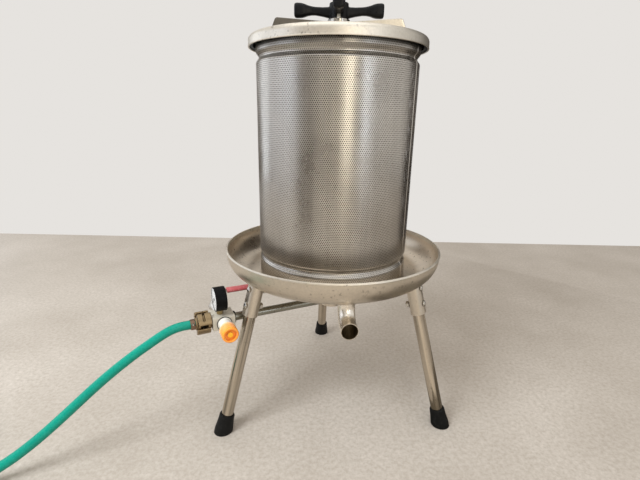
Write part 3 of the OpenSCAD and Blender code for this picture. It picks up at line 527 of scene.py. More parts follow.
# %% [markdown]
# Two finishes need a little more. The orange cap lets light in and pales towards the end of
# its skirt. A second finish would make a hard line there, so a number stored on its mesh tells
# the finish how pale each place is. The gauge's window is clear, with a gloss that varies as
# if it had been wiped. Real glass renders slowly and bends the dial behind it, so the window is
# a nearly see-through skin instead.

# %% Cap and window
cap_orange = moulded("cap_orange", (1.0, 0.36, 0.045), 0.28, (1.0, 0.55, 0.25), wear=0.3)
cap_tree = cap_orange.node_tree
cap_shader = cap_tree.nodes["Principled BSDF"]
cap_shader.inputs["Subsurface Weight"].default_value = 0.25
cap_shader.inputs["Subsurface Radius"].default_value = (0.006, 0.002, 0.0006)
skirt = cap_tree.nodes.new("ShaderNodeAttribute")
skirt.attribute_name = "pale"
cap_colour = cap_shader.inputs["Base Color"].links[0].from_socket
cap_tree.links.new(layer(cap_tree, skirt.outputs["Fac"], cap_colour, (1.0, 0.76, 0.52)),
                   cap_shader.inputs["Base Color"])

clear_lens, lens_tree, lens_shader = start_finish("clear_lens", 0.04)
lens_shader.inputs["Base Color"].default_value = (0.95, 0.96, 0.96, 1)
lens_shader.inputs["Alpha"].default_value = 0.10
lens_tree.links.new(spread(lens_tree, clouds(lens_tree, places(lens_tree), 0.006, 4), 0.02, 0.10),
                    lens_shader.inputs["Roughness"])
print("cap and window ready")

# %% [markdown]
# Trowelled concrete has broad pale clouds with grit between them, so its finish is two
# patterns of very different size. The panels are only seen blurred in the steel, so each of
# them is one plain colour, darker or lighter as that side of the hall is.

# %% Floor and panels
floor_finish, floor_tree, floor_shader = start_finish("pale_floor", 0.55)
floor_where = places(floor_tree)
floor_clouds = tones(floor_tree, clouds(floor_tree, floor_where, 0.35, 6, 0.6),
                     [(0.30, (0.43, 0.38, 0.325)), (0.70, (0.55, 0.495, 0.435))])
floor_grit = clouds(floor_tree, floor_where, 0.009, 6, 0.75)
floor_tree.links.new(layer(floor_tree, spread(floor_tree, floor_grit, 0, 0.6, 0.35, 0.65),
                           floor_clouds, (0.30, 0.255, 0.205)), floor_shader.inputs["Base Color"])
floor_shader.inputs["Specular IOR Level"].default_value = 0.1
hall_floor.data.materials.append(floor_finish)
panel_tints = ((0.035, 0.028, 0.022), (0.14, 0.12, 0.10), (0.12, 0.10, 0.075), (0.36, 0.33, 0.30),
               (0.48, 0.44, 0.39), (0.84, 0.87, 0.95))
for panel, tint in zip(panels, panel_tints):
    cloth, _, cloth_shader = start_finish(panel.name + "_cloth", 0.9)
    cloth_shader.inputs["Base Color"].default_value = (*tint, 1)
    panel.data.materials.append(cloth)
print("finishes:", len(bpy.data.materials))

# %% [markdown]
# A new piece needs the same things each time: faces that look outwards, smooth shading that
# stops at real corners, a finish and the body that carries it. One helper dresses any mesh in
# that way, so that no piece misses a step.

# %% Dressing a piece
def dress(piece, finish, body, crease=35):
    mesh = piece.data
    work = bmesh.new()
    work.from_mesh(mesh)
    bmesh.ops.recalc_face_normals(work, faces=work.faces)
    for face in work.faces:
        face.smooth = True
    for edge in work.edges:
        edge.smooth = len(edge.link_faces) != 2 or edge.calc_face_angle(0) < math.radians(crease)
    work.to_mesh(mesh)
    work.free()
    mesh.materials.clear()
    mesh.materials.append(finish)
    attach(piece, body)


def add_piece(name, points, faces, finish, body, slot, crease=35):
    mesh = bpy.data.meshes.new(name)
    mesh.from_pydata([tuple(p) for p in points], [], [tuple(f) for f in faces])
    piece = in_scene(name, mesh)
    dress(piece, finish, body, crease)
    return piece


print("dressing ready")

# %% [markdown]
# Every cut or pressed edge on a real thing is a little round, and that thin bright line is
# what makes it look solid. A hard piece is therefore dressed as a copy of itself: its points
# are welded, flat faces are joined up, and the sharp edges are bevelled by a width that suits
# the piece. The copy rides on the same body and stands in for the bare one.

# %% Softened edges
def copied_mesh(node, name):
    """A mesh of one's own with the points and faces of a bare piece."""
    bare = nodes[node].data
    mesh = bpy.data.meshes.new(name)
    mesh.from_pydata([v.co[:] for v in bare.vertices], [], [p.vertices[:] for p in bare.polygons])
    return mesh


dressed = {}


def soft_edged(node, finish, width_mm, steps=2, corner=30):
    mesh = copied_mesh(node, "dressed_" + node)
    work = bmesh.new()
    work.from_mesh(mesh)
    bmesh.ops.remove_doubles(work, verts=work.verts, dist=1e-6)
    bmesh.ops.dissolve_limit(work, angle_limit=math.radians(0.4), verts=work.verts,
                             edges=work.edges)
    sharp = [e for e in work.edges
             if len(e.link_faces) == 2 and e.calc_face_angle(0) > math.radians(corner)]
    bmesh.ops.bevel(work, geom=sharp, offset=width_mm * MM, offset_type="OFFSET", segments=steps,
                    profile=0.5, affect="EDGES", clamp_overlap=True)
    bmesh.ops.triangulate(work, faces=[f for f in work.faces if len(f.verts) > 4])
    work.to_mesh(mesh)
    work.free()
    piece = in_scene("dressed_" + node, mesh)
    dress(piece, finish, nodes[node]["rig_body"], 50)
    even = piece.modifiers.new("even_shading", "WEIGHTED_NORMAL")
    even.keep_sharp = True
    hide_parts(node)
    dressed[node] = piece


print("softened edges ready")

# %% [markdown]
# New shapes come from outlines in millimetres. Blender's own tools could spin and push them
# out, but they work on what is selected. Counting the points ring by ring is just as short and
# never picks the wrong face. One helper joins rings of points with faces, one closes the ends,
# and one pushes a flat outline out between two heights.

# %% Outlines and rings
upright = Matrix.Identity(4)


def circle(radius, sides, middle=(0, 0)):
    turns = [2 * math.pi * k / sides for k in range(sides)]
    return [(middle[0] + radius * math.cos(a), middle[1] + radius * math.sin(a)) for a in turns]


def ring_faces(rings, count, closed=False):
    """The faces between rings of points that follow each other, back to the first if closed."""
    faces = []
    for i in range(rings if closed else rings - 1):
        here, there = i * count, (i + 1) % rings * count
        for k in range(count):
            n = (k + 1) % count
            faces.append((here + k, here + n, there + n, there + k))
    return faces


def end_faces(rings, count):
    last = (rings - 1) * count
    return [tuple(reversed(range(count))), tuple(range(last, last + count))]


def pushed_out(outline, low, high, place=upright):
    """The points and faces of a flat outline, pushed out between two heights, all in mm."""
    points = [place @ (Vector((x, y, z)) * MM) for z in (low, high) for x, y in outline]
    return points, ring_faces(2, len(outline)) + end_faces(2, len(outline))


print("outlines and rings ready")

# %% [markdown]
# Round pieces are turned, as on a lathe: an outline is spun about an axis. The helper can take
# an outline with rounded corners, and lets a ripple change the radius, which is how flutes and
# folds are made without any extra tool.

# %% Turning
ROOM = 0.45


def rounded(line, radius, steps=4):
    """The closed outline with its corners rounded, as far as its sides have room."""
    points = [Vector(p) for p in line]
    out = []
    for before, at, after in zip(points[-1:] + points[:-1], points, points[1:] + points[:1]):
        cut = min(radius, ROOM * (before - at).length, ROOM * (after - at).length)
        start = at + (before - at).normalized() * cut
        end = at + (after - at).normalized() * cut
        for i in range(steps + 1):
            t = i / steps
            out.append((1 - t) ** 2 * start + 2 * t * (1 - t) * at + t * t * end)
    return [tuple(p) for p in out]


def turned(name, outline, place, finish, body, slot, sides=96, ripple=None, crease=40):
    """Spins a closed outline of (radius, height) in mm about the z of place."""
    points = []
    for k in range(sides):
        angle = 2 * math.pi * k / sides
        for radius, height in outline:
            r = ripple(radius, height, angle) if ripple else radius
            at = Vector((r * math.cos(angle), r * math.sin(angle), height))
            points.append(place @ (at * MM))
    faces = ring_faces(sides, len(outline), closed=True)
    return add_piece(name, points, faces, finish, body, slot, crease)


print("turning ready")

# %% [markdown]
# The basket is rolled stainless sheet with small round holes in staggered rows, and a groove
# rolled in near each end to stiffen it. The holes should follow the grooves, so the wall's
# profile comes first: its radius at each height, and how far one has walked along it. Rows of
# holes are then set out along that walk, as they were on the flat sheet before it was rolled.

# %% Profile of the basket wall
BASKET_RADIUS = 165.0
BASKET_FOOT = 335.0
BASKET_TOP = 815.0
GROOVE_DEPTH = 6.0
GROOVE_WIDTH = 22.0
GROOVE_IN = 43.0
GROOVE_DOWN = 33.5
SHEET_DEPTH = 1.5
COLUMNS = 264
QUARTERS = 4
STAGGER = 0.5
HOLE_SHARE = 0.55
FAR_SIDE_SHARE = 0.36
SEAM_BEARING = math.radians(-31)


def wall_radius(z):
    radius = np.full_like(z, BASKET_RADIUS - 0.1)
    for middle in (BASKET_FOOT + GROOVE_IN, BASKET_TOP - GROOVE_DOWN):
        turn = np.clip((z - middle) / GROOVE_WIDTH * 2 * np.pi, -np.pi, np.pi)
        radius -= GROOVE_DEPTH * (1 + np.cos(turn)) / 2
    return radius


heights = np.linspace(BASKET_FOOT + 0.5, BASKET_TOP - 0.5, 6000)
radii = wall_radius(heights)
walked = np.concatenate([[0], np.cumsum(np.hypot(np.diff(heights), np.diff(radii)))])
pitch = 2 * np.pi * BASKET_RADIUS / COLUMNS
cell = pitch / math.sqrt(3)
row_count = int((walked[-1] - 2 * cell) / (1.5 * cell)) + 1
margin = (walked[-1] - 1.5 * cell * (row_count - 1)) / 2


def on_wall(across, along, inwards=0.0):
    """Points of the wall from columns across and the way walked up the profile."""
    z = np.interp(along, walked, heights)
    angle = SEAM_BEARING + across * 2 * np.pi / COLUMNS
    radius = wall_radius(z) - inwards
    return np.stack([radius * np.cos(angle), radius * np.sin(angle), z], -1) * MM


print("wall walked", round(float(walked[-1]), 1), "mm, hole pitch", round(pitch, 2), "mm, rows",
      row_count)

# %% [markdown]
# The holes could be painted on, but then nothing would show through, and no juice could get
# out. So they are real: the wall is a honeycomb, each cell a ring of six faces about one hole,
# wrapped on the wall's profile. The sheet has an outer skin and an inner one. A punch leaves
# the hole smaller on the far side, so the inner skin has narrow holes, and it is dark brown:
# partly juice stain, partly painted shade for the dim inside of the basket. That is what makes
# the holes look deep. Each skin is laid out in four quarter rounds, which keeps each mesh to a
# sensible size.

# %% Perforated wall
SAME_WITHIN = 64


def mesh_from_quads(name, points, quads):
    mesh = bpy.data.meshes.new(name)
    mesh.vertices.add(len(points))
    mesh.vertices.foreach_set("co", points.ravel())
    mesh.loops.add(quads.size)
    mesh.loops.foreach_set("vertex_index", quads.ravel().astype(np.int32))
    mesh.polygons.add(len(quads))
    mesh.polygons.foreach_set("loop_start", np.arange(0, quads.size, 4, dtype=np.int32))
    mesh.update(calc_edges=True)
    mesh.validate()
    return mesh


def perforated(name, first, count, inwards, share, finish):
    """A run of columns of one skin, this far in from the outside, with a hole in each cell."""
    turns = np.radians([90, 30, -30, -90, -150, 150])
    corner_x, corner_y = np.cos(turns) / math.sqrt(3), np.sin(turns) / math.sqrt(3)
    across, up = np.meshgrid(np.arange(count), np.arange(row_count))
    across, up = across.ravel(), up.ravel()
    middle_x = (first + across + STAGGER * (up % 2) + STAGGER / 2)[:, None]
    middle_y = (margin + 1.5 * cell * up)[:, None]
    outer_x = middle_x + corner_x
    outer_y = middle_y + corner_y * pitch
    outer_y = np.where((up == 0)[:, None] & (corner_y < 0), 0, outer_y)
    outer_y = np.where((up == row_count - 1)[:, None] & (corner_y > 0), walked[-1], outer_y)
    # Neighbouring cells share a corner where they agree to a 64th.
    keys = np.stack([np.rint(outer_x * SAME_WITHIN), np.rint(outer_y * SAME_WITHIN)], -1)
    keys = keys.reshape(-1, 2)
    shared, first_use, index = np.unique(keys, axis=0, return_index=True, return_inverse=True)
    index = index.reshape(-1, 6)
    hole_x = (middle_x + share * corner_x).ravel()
    hole_y = (middle_y + share * corner_y * pitch).ravel()
    corners = on_wall(outer_x.ravel()[first_use], outer_y.ravel()[first_use], inwards)
    points = np.concatenate([corners, on_wall(hole_x, hole_y, inwards)])
    rim = len(shared) + np.arange(len(across) * 6).reshape(-1, 6)
    after = np.roll(np.arange(6), -1)
    skin = np.stack([index, index[:, after], rim[:, after], rim], -1).reshape(-1, 4)
    mesh = mesh_from_quads(name, points, skin)
    mesh.shade_smooth()
    mesh.materials.append(finish)
    quarter = in_scene(name, mesh)
    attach(quarter, "basket")
    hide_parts("basket_shell")
    return len(across)


holes = 0
run_of_columns = COLUMNS // QUARTERS
for number in range(QUARTERS):
    first = number * run_of_columns
    holes += perforated("basket_wall_%d" % (number + 1), first, run_of_columns, 0, HOLE_SHARE,
                        basket_steel)
    perforated("basket_inside_%d" % (number + 1), first, run_of_columns, SHEET_DEPTH,
               FAR_SIDE_SHARE, inner_steel)
print("holes in the basket:", holes)

# %% [markdown]
# The sheet's ends are turned over a wire and its meeting edges are closed with a welded strip,
# because cut perforated edges would tear hands and fruit. The rims are turned rings, and the
# two strips follow the same profile as the wall.

# %% Rims and seams of the basket
RIM_THICK = 1.3
RIM_IN = 1.4
rim_heights = {"basket_foot_rim": BASKET_FOOT + RIM_IN, "basket_top_rim": BASKET_TOP - RIM_IN}
for name, height in rim_heights.items():
    turned(name, circle(RIM_THICK, 12, (BASKET_RADIUS - RIM_IN, height)), upright, basket_steel,
           "basket", "basket_steel", 160, crease=80)
SEAM_STEPS = 260
for number, turn in enumerate((0, COLUMNS / 2)):
    up = np.linspace(0, walked[-1], SEAM_STEPS)
    across = np.array([-0.75, -0.6, 0, 0.6, 0.75]) + turn + STAGGER / 2
    sunk = np.array([0.3, -0.35, -0.55, -0.35, 0.3])
    rows = np.stack([on_wall(np.full_like(up, a), up, s) for a, s in zip(across, sunk)], 1)
    corner = np.arange(SEAM_STEPS - 1)[:, None] * 5 + np.arange(4)
    strip = np.stack([corner, corner + 1, corner + 6, corner + 5], -1).reshape(-1, 4)
    name = "basket_seam_%d" % (number + 1)
    seam = in_scene(name, mesh_from_quads(name, rows.reshape(-1, 3), strip))
    dress(seam, basket_steel, "basket", 80)
print("rims and seams of the basket:", list(rim_heights), "and two seams")

# %% [markdown]
# Sheet, tube, bolts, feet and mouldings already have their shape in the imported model, so there
# is no need to build them again. They get softened edges and a finish. One table is easier to
# check than forty calls: each row gives a finish, the record's slot and the pieces that have
# it, with how wide their edges are rounded in millimetres.

# %% Hard pieces with softened edges
hard_pieces = [
    (satin_steel, "satin_steel", {"juice_tray": 0.5, "socket_left": 0.8, "socket_right": 0.8,
                                  "socket_back": 0.8, "inlet_hub": 1.0, "core_tube": 0.5,
                                  "core_cap": 1.0, "base_plate": 1.0}),
    (spout_steel, "satin_steel", {"spout_tube": 0.35}),
    (lid_steel, "satin_steel", {"lid_shell": 0.6}),
    (bar_steel, "satin_steel", {"crossbar": 1.0}),
    (leg_steels["left"], "leg_steel", {"leg_left": 0.4}),
    (leg_steels["right"], "leg_steel", {"leg_right": 0.4}),
    (leg_steels["back"], "leg_steel", {"leg_back": 0.4}),
    (pipe_steel, "pipe_steel", {"feed_pipe": 0.3}),
    (bright_steel, "bright_steel", {"leg_bolts": 0.4, "leg_nuts": 0.6, "clamp_lower": 0.8,
                                    "clamp_upper": 0.8, "thrust_washer": 0.8, "handle_insert": 0.4,
                                    "drain_body": 0.8, "drain_end": 0.8, "drain_stem": 0.4,
                                    "drain_lever": 0.5, "lever_nut": 0.5, "clip_screw": 0.3}),
    (black_rubber, "black_rubber", {"foot_left": 2.0, "foot_right": 2.0, "foot_back": 2.0,
                                    "lid_seal": 1.0, "pipe_gasket": 0.8, "coil_tie": 0.6}),
    (cream_plastic, "cream_plastic", {"manifold_block": 1.4}),
    (neck_plastic, "neck_plastic", {"safety_neck": 0.6}),
    (button_yellow, "button_yellow", {"safety_spindle": 0.8}),
    (lever_red, "lever_red", {"lever_sleeve": 1.2}),
    (stem_brass, "stem_brass", {"gauge_stem": 0.5}),
    (coupling_brass, "coupling_brass", {"tap_connector": 0.8}),
    (clip_band, "clip_band", {"hose_clip": 0.3}),
]
for finish, slot, widths in hard_pieces:
    for node, width in widths.items():
        soft_edged(node, finish, width)
print("softened pieces:", len(dressed))

# %% [markdown]
# The inside of the spout is never scrubbed as bright as the outside: dried juice leaves it
# brown. The tube is one piece, so its inner faces are picked out by how close they lie to the
# bend's own centre line, and given a second, stained finish.

# %% Stained inside of the spout
SPOUT_BEND = 35
SPOUT_BEARING = math.radians(-87)
SPOUT_OUT, SPOUT_HEIGHT = 195, 331
SPOUT_INSIDE = 15.8
spout_frame = (Matrix.Rotation(SPOUT_BEARING, 4, "Z")
               @ Matrix.Translation((SPOUT_OUT * MM, 0, SPOUT_HEIGHT * MM)))
to_spout = spout_frame.inverted()


def off_centre_line(point):
    x, y, z = to_spout @ point / MM
    if z > 0:
        return math.hypot(x, y)
    if x > SPOUT_BEND:
        return math.hypot(y, z + SPOUT_BEND)
    return math.hypot(math.hypot(x - SPOUT_BEND, z) - SPOUT_BEND, y)


spout = dressed["spout_tube"].data
spout.materials.append(stained_steel)
inner_faces = [face for face in spout.polygons if off_centre_line(face.center) < SPOUT_INSIDE]
for face in inner_faces:
    face.material_index = 1
print("stained faces in the spout:", len(inner_faces))

# %% [markdown]
# The lever's sleeve is dipped rubber, and its underside is black: painted shadow, for the
# shade that falls under it. The finish could be darkened by height, but the sleeve is too thin
# for that to come out clean. So the faces that look down are picked out and given a second,
# black finish as painted shadow, which turns with them.

# %% Painted shadow under the lever's sleeve
sleeve = dressed["lever_sleeve"].data
sleeve.materials.append(black_rubber)
FACES_DOWN = -0.55
# Faces that look down get the black finish as painted shadow.
for face in sleeve.polygons:
    if face.normal.z < FACES_DOWN:
        face.material_index = 1
print("painted_shadow faces under the sleeve:", sum(f.material_index for f in sleeve.polygons))

# %% [markdown]
# The leg sockets and the spout are welded to the tray. A weld follows the line where the two
# surfaces meet, so that line is found first: each point of the socket's outline slides along
# the leg until it is just inside the tray's skin.

# %% Where sockets and spout meet the tray
TRAY_RADIUS = 240
TRAY_CORNER = 50
TRAY_UNDER = 333


def depth_in_tray(point):
    """How far a place lies inside the tray's outer skin, in mm."""
    x, y, z = point / MM
    out, up = math.hypot(x, y), z - TRAY_UNDER
    if up >= TRAY_CORNER:
        return TRAY_RADIUS - out
    if out <= TRAY_RADIUS - TRAY_CORNER:
        return up
    return TRAY_CORNER - math.hypot(out - TRAY_RADIUS + TRAY_CORNER, up - TRAY_CORNER)


def meets_tray(place, x, y, low, high):
    """The place where a line along z comes into the tray, found by halving."""
    for _ in range(30):
        middle = (low + high) / 2
        if depth_in_tray(place @ Vector((x * MM, y * MM, middle * MM))) > 0:
            high = middle
        else:
            low = middle
    return place @ Vector((x * MM, y * MM, low * MM))


LEG_SEARCH, SPOUT_SEARCH = (270, 400), (-12, 70)
met = {side: meets_tray(leg_frame(side), 0, 0, *LEG_SEARCH) for side in LEG_BEARINGS}
print("heights where the legs meet the tray:", {side: round(at.z, 4) for side, at in met.items()})

# %% [markdown]
# A weld bead is a row of small pools, each frozen over the one before. A plain tube would look
# like wire, so the bead's thickness swells and shrinks along its line, once for each pool, and
# an open bead runs out thin at its ends.

# %% Weld beads
POOL_MM = 2.4


def bead(name, path, radius, finish, body, slot, closed=True, sides=8):
    """A weld bead along points in metres, with the small scallops that its pool leaves."""
    count = len(path)
    spans = [(path[(i + 1) % count] - path[i]).length / MM for i in range(count)]
    so_far = np.concatenate([[0], np.cumsum(spans)])
    points = []
    for i in range(count):
        ahead = path[(i + 1) % count] if closed else path[min(i + 1, count - 1)]
        behind = path[i - 1] if closed or i else path[0]
        along = (ahead - behind).normalized()
        side = along.cross(Vector((0, 0, 1))).normalized()
        top = side.cross(along)
        size = radius * (0.9 + 0.2 * abs(math.sin(math.pi * so_far[i] / POOL_MM)))
        if not closed and i in (0, count - 1):
            size = 0.3 * radius
        points += [path[i] + (side * x + top * y) * MM for x, y in circle(size, sides)]
    faces = ring_faces(count, sides, closed)
    if not closed:
        faces += end_faces(count, sides)
    add_piece(name, points, faces, finish, body, slot, 80)


SOCKET_OUT = 15.65
FLANGE = 9
socket_turns = {"left": 90, "right": -90, "back": 90}
nose_turns = np.radians(np.linspace(-90, 90, 40))
nose = [(SOCKET_OUT * math.cos(a), SOCKET_OUT * math.sin(a)) for a in nose_turns]
flange = [(x, -SOCKET_OUT) for x in np.linspace(-FLANGE, -0.5, 9)]
socket_line = flange + nose + [(x, -y) for x, y in reversed(flange)]
for side in LEG_BEARINGS:
    place = leg_frame(side) @ Matrix.Rotation(math.radians(socket_turns[side]), 4, "Z")
    seat = [meets_tray(place, x, y, *LEG_SEARCH) for x, y in socket_line]
    bead("socket_weld_" + side, seat, 1.8, satin_steel, "stand", "satin_steel", closed=False)
SPOUT_ROOT = 16.75
root = [meets_tray(spout_frame, x, y, *SPOUT_SEARCH) for x, y in circle(SPOUT_ROOT, 72)]
bead("spout_weld", root, 1.7, satin_steel, "stand", "satin_steel")

# %% [markdown]
# Inside, the tray is smoother and stained by juice, and its rolled rim is rubbed pale all the
# way round. It could be cut into three pieces, but then seams would show. The tray stays one
# piece, as the spout does, and its faces are sorted by how deep they lie.

# %% Inside and rim of the tray
TRAY_RIM = 386.4
TRAY_SHEET = 1.0
tray = dressed["juice_tray"].data
tray.materials.append(tray_inside)
tray.materials.append(rim_steel)
for face in tray.polygons:
    if face.center.z > TRAY_RIM * MM:
        face.material_index = 2
    elif depth_in_tray(face.center) > TRAY_SHEET:
        face.material_index = 1
print("faces of the tray: outside, inside, rim:",
      [sum(f.material_index == i for f in tray.polygons) for i in range(3)])

# %% [markdown]
# The lid's skirt ends in a small rolled lip, which catches the light as a thin line all the
# way round. Inside it sits a black ring, painted shade for the deep shadow under the lid,
# which shows as a black line there. Both are the same all the way round, so they are turned,
# each from its own section.

# %% Lip of the lid, and a black ring of painted shade inside it
turned("lid_lip", circle(1.5, 12, (178.6, 801.0)), upright, lid_steel, "lid", "satin_steel", 180,
       crease=80)
# A black ring inside the skirt, as painted shade under the lid.
lining_line = rounded([(170.5, 802.5), (177.3, 802.5), (177.3, 812), (170.5, 812)], 1.5)
turned("lid_lining", lining_line, upright, black_rubber, "lid", "black_rubber", 180, crease=60)
print("lid lip and painted_shade_ring made")

# %% [markdown]
# The closing nut is a moulded cross: a round hub and four arms that narrow to a neck and swell
# into blunt ends for the palm. Modelled as boxes it would look like a toy. Instead each pair of
# arms is lofted through rounded sections, from one blunt end to the other.

# %% Arms of the handle
ARM_SIDES = 24
ARM_BLUNT = 0.62
arm_stations = [(-88.5, 7.0, 10.4, 1.5), (-87.2, 10.2, 12.6, 1.5), (-83, 11.5, 13.4, 1.5),
                (-74, 11.5, 13.0, 1.4), (-68, 10.8, 11.6, 1.3), (-62, 9.2, 9.5, 1.2),
                (-54, 8.0, 7.9, 0.9), (-46, 7.6, 7.4, 0.4), (-32, 7.9, 8.2, -0.9),
                (-20, 8.6, 9.8, -2.0), (0, 9.2, 10.4, -2.2)]
arm_stations += [(-x, w, h, rise) for x, w, h, rise in reversed(arm_stations[:-1])]


def blunted(value):
    return math.copysign(abs(value) ** ARM_BLUNT, value)


def arm_pair(turn):
    """Two arms in one line, through sections given by x, half width, half height and rise."""
    points = []
    for x, half_width, half_height, rise in arm_stations:
        for c, s in circle(1, ARM_SIDES):
            y, z = half_width * blunted(c), rise + half_height * blunted(s)
            points.append(turn @ (Vector((x, y, z)) * MM))
    rings = len(arm_stations)
    return points, ring_faces(rings, ARM_SIDES) + end_faces(rings, ARM_SIDES)


print("sections in a pair of arms:", len(arm_stations))

# %% [markdown]
# A mould blends one form into the next, and so does a casting. Joining shapes exactly would
# leave a hard line where they meet. A voxel remesh fuses them into one skin, a few rounds of
# smoothing ease that line into a fillet, and cutters can open a bore. These helpers set up
# each step as a modifier, and the last one keeps the shape that comes out.

# %% Fusing, easing and cutting
def plain_mesh(name, shapes):
    points, faces = [], []
    for more_points, more_faces in shapes:
        faces += [tuple(i + len(points) for i in face) for face in more_faces]
        points += more_points
    mesh = bpy.data.meshes.new(name)
    mesh.from_pydata([tuple(p) for p in points], [], faces)
    return mesh


def finished_mesh(piece):
    bpy.context.view_layer.update()
    shaped = piece.evaluated_get(bpy.context.evaluated_depsgraph_get())
    return bpy.data.meshes.new_from_object(shaped)


def cut_with(piece, tool):
    cut = piece.modifiers.new("cut", "BOOLEAN")
    cut.operation = "DIFFERENCE"
    cut.object = tool
    cut.solver = "EXACT"


def fuse_and_ease(piece, voxel_mm, rounds):
    fuse = piece.modifiers.new("fuse", "REMESH")
    fuse.mode = "VOXEL"
    fuse.voxel_size = voxel_mm * MM
    ease = piece.modifiers.new("ease", "SMOOTH")
    ease.factor = 0.5
    ease.iterations = rounds


def settle(piece):
    """The shape that the modifiers give becomes the piece's own mesh."""
    shaped = finished_mesh(piece)
    piece.modifiers.clear()
    piece.data = shaped


print("fusing, easing and cutting ready")

# %% [markdown]
# Now the handle: two pairs of arms over a round hub, fused, eased and then cut. The cuts come
# last so that their edges stay crisp, as on the real handle: a six-sided pocket for the
# threaded insert, the slot in the front of the hub, and the bore for the rod.

# %% Moulded handle
HANDLE_MIDDLE = 871
HANDLE_TURN = math.radians(-6)
quarter_turn = Matrix.Rotation(math.radians(90), 4, "Z")
hub = pushed_out(circle(19, 48), -15, 15)
handle = in_scene("moulded_handle", plain_mesh("moulded_handle", [
    arm_pair(upright), arm_pair(quarter_turn), hub]))
fuse_and_ease(handle, 1.2, 5)
hub_cuts = {"handle_cutter": (circle(15.7, 6), -20, 11.2),
            "slot_cutter": ([(-3.8, -30), (3.8, -30), (3.8, 0), (-3.8, 0)], -20, 2.5),
            "bore_cutter": (circle(10.4, 48), -30, 30)}
cutters = [in_scene(name, plain_mesh(name, [pushed_out(*cut)]))
           for name, cut in hub_cuts.items()]
for cutter in cutters:
    cut_with(handle, cutter)
settle(handle)
for cutter in cutters:
    bpy.data.objects.remove(cutter)
handle_place = (Matrix.Translation((0, 0, HANDLE_MIDDLE * MM))
                @ Matrix.Rotation(HANDLE_TURN, 4, "Z"))
handle.data.transform(handle_place)
dress(handle, black_plastic, "handle", 45)
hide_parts("cross_handle")
print("handle faces:", len(handle.data.polygons))

# %% [markdown]
# A pale plastic key closes the slot in the front of the hub, with a round top. It could be a
# patch of pale finish on the handle, but its edge stands proud of the slot and catches the
# light. So it is a piece of its own: a flat arch, pushed out of a plain outline.

# %% Key in the hub
KEY_HALF = 3.3
KEY_FOOT, KEY_ARCH = -14.6, -1.2
KEY_BACK, KEY_FRONT = 15.9, 18.6
arch = [(-KEY_HALF, KEY_FOOT), (KEY_HALF, KEY_FOOT)]
arch += [(KEY_HALF * math.cos(a), KEY_ARCH + KEY_HALF * math.sin(a))
         for a in np.radians(np.arange(0, 181, 20))]
facing_front = handle_place @ Matrix.Rotation(math.radians(90), 4, "X")
hub_key = add_piece("hub_key", *pushed_out(arch, KEY_BACK, KEY_FRONT, facing_front), neck_plastic,
                    "handle", "neck_plastic", 30)
print("key faces:", len(hub_key.data.polygons))

# %% [markdown]
# The two halves of the hose coupling are sand-cast brass, so none of their edges is crisp. The
# same fuse and ease, on a copy of each half, gives them the rounded look of a casting. A
# dark gap shows between the halves where the claws hook over, so a thin arc is cut there first.

# %% Cast coupling
GAP_FROM, GAP_TO = 300.6, 304.4
GAP_INNER, GAP_OUTER = 20.0, 26.0
gap_turns = np.radians(np.arange(30, 121, 10))
gap_corners = ((GAP_FROM, GAP_INNER), (GAP_TO, GAP_INNER),
               (GAP_TO, GAP_OUTER), (GAP_FROM, GAP_OUTER))
gap_points = [feed_frame @ (Vector((s, r * math.cos(a), r * math.sin(a))) * MM)
              for a in gap_turns for s, r in gap_corners]
gap_faces = ring_faces(len(gap_turns), 4) + end_faces(len(gap_turns), 4)
gap_cutter = in_scene("gap_cutter", plain_mesh("gap_cutter", [(gap_points, gap_faces)]))
for node in ("claw_block", "claw_hose"):
    half = in_scene("cast_" + node, copied_mesh(node, "cast_" + node))
    cut_with(half, gap_cutter)
    fuse_and_ease(half, 0.7, 14)
    settle(half)
    dress(half, coupling_brass, nodes[node]["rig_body"], 60)
    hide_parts(node)
    print(half.name, "faces:", len(half.data.polygons))
bpy.data.objects.remove(gap_cutter)

# %% [markdown]
# The tie rod carries a coarse thread at the top, four millimetres a turn, on which the handle
# screws down. A real thread is a helix, and it is cheap to make as one: rings of points close
# together, each point's radius read from how far the groove has climbed at its angle.

# %% Threaded tie rod
ROD_RADIUS = 10
THREAD_PITCH = 4.0
THREAD_DEPTH = 1.15
THREAD_FROM = 720
ROD_FOOT = 241
ROD_TOP = 882
ROD_SIDES = 48
ROD_CHAMFER = 1.5
RUN_IN = 6
threaded = np.arange(THREAD_FROM - RUN_IN, ROD_TOP - ROD_CHAMFER, 0.5)
levels = [ROD_FOOT, ROD_FOOT + ROD_CHAMFER] + list(threaded) + [ROD_TOP]
rod_points = []
for z in levels:
    run_in = held((z - THREAD_FROM) / RUN_IN)
    end = 1.4 if z in (ROD_FOOT, ROD_TOP) else 0
    for k, (c, s) in enumerate(circle(1, ROD_SIDES)):
        climb = (z / THREAD_PITCH - k / ROD_SIDES) % 1
        groove = THREAD_DEPTH * run_in * held(1.25 - 3 * abs(climb - 0.5))
        r = ROD_RADIUS - groove - end
        rod_points.append(Vector((r * c, r * s, z)) * MM)
rod_faces = ring_faces(len(levels), ROD_SIDES) + end_faces(len(levels), ROD_SIDES)
rod = add_piece("threaded_tie_rod", rod_points, rod_faces, bright_steel, "stand", "bright_steel",
                60)
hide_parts("tie_rod")
print("thread turns:", round((ROD_TOP - THREAD_FROM) / THREAD_PITCH, 1))

# %% [markdown]
# Empty of water, the rubber bladder hangs round the post in soft upright folds, gathered into
# a tight neck under each clamp. It is turned from its own outline, with a ripple that deepens
# towards the middle and dies out at the necks, where the clamps hold it round.

# %% Rubber bladder
BLADDER_NECK = 23.15
BLADDER_RADIUS = 61.5
BLADDER_WALL = 4
BLADDER_LOW, BLADDER_HIGH = 341, 800
NECK_LENGTH = 26
FLARE = 40
FOLDS = 9
FOLD_DEPTH = 9.0


def bladder_fill(z):
    low, high = BLADDER_LOW + NECK_LENGTH, BLADDER_HIGH - NECK_LENGTH
    t = held(min(z - low, high - z) / FLARE)
    return (1 - math.cos(math.pi * t)) / 2


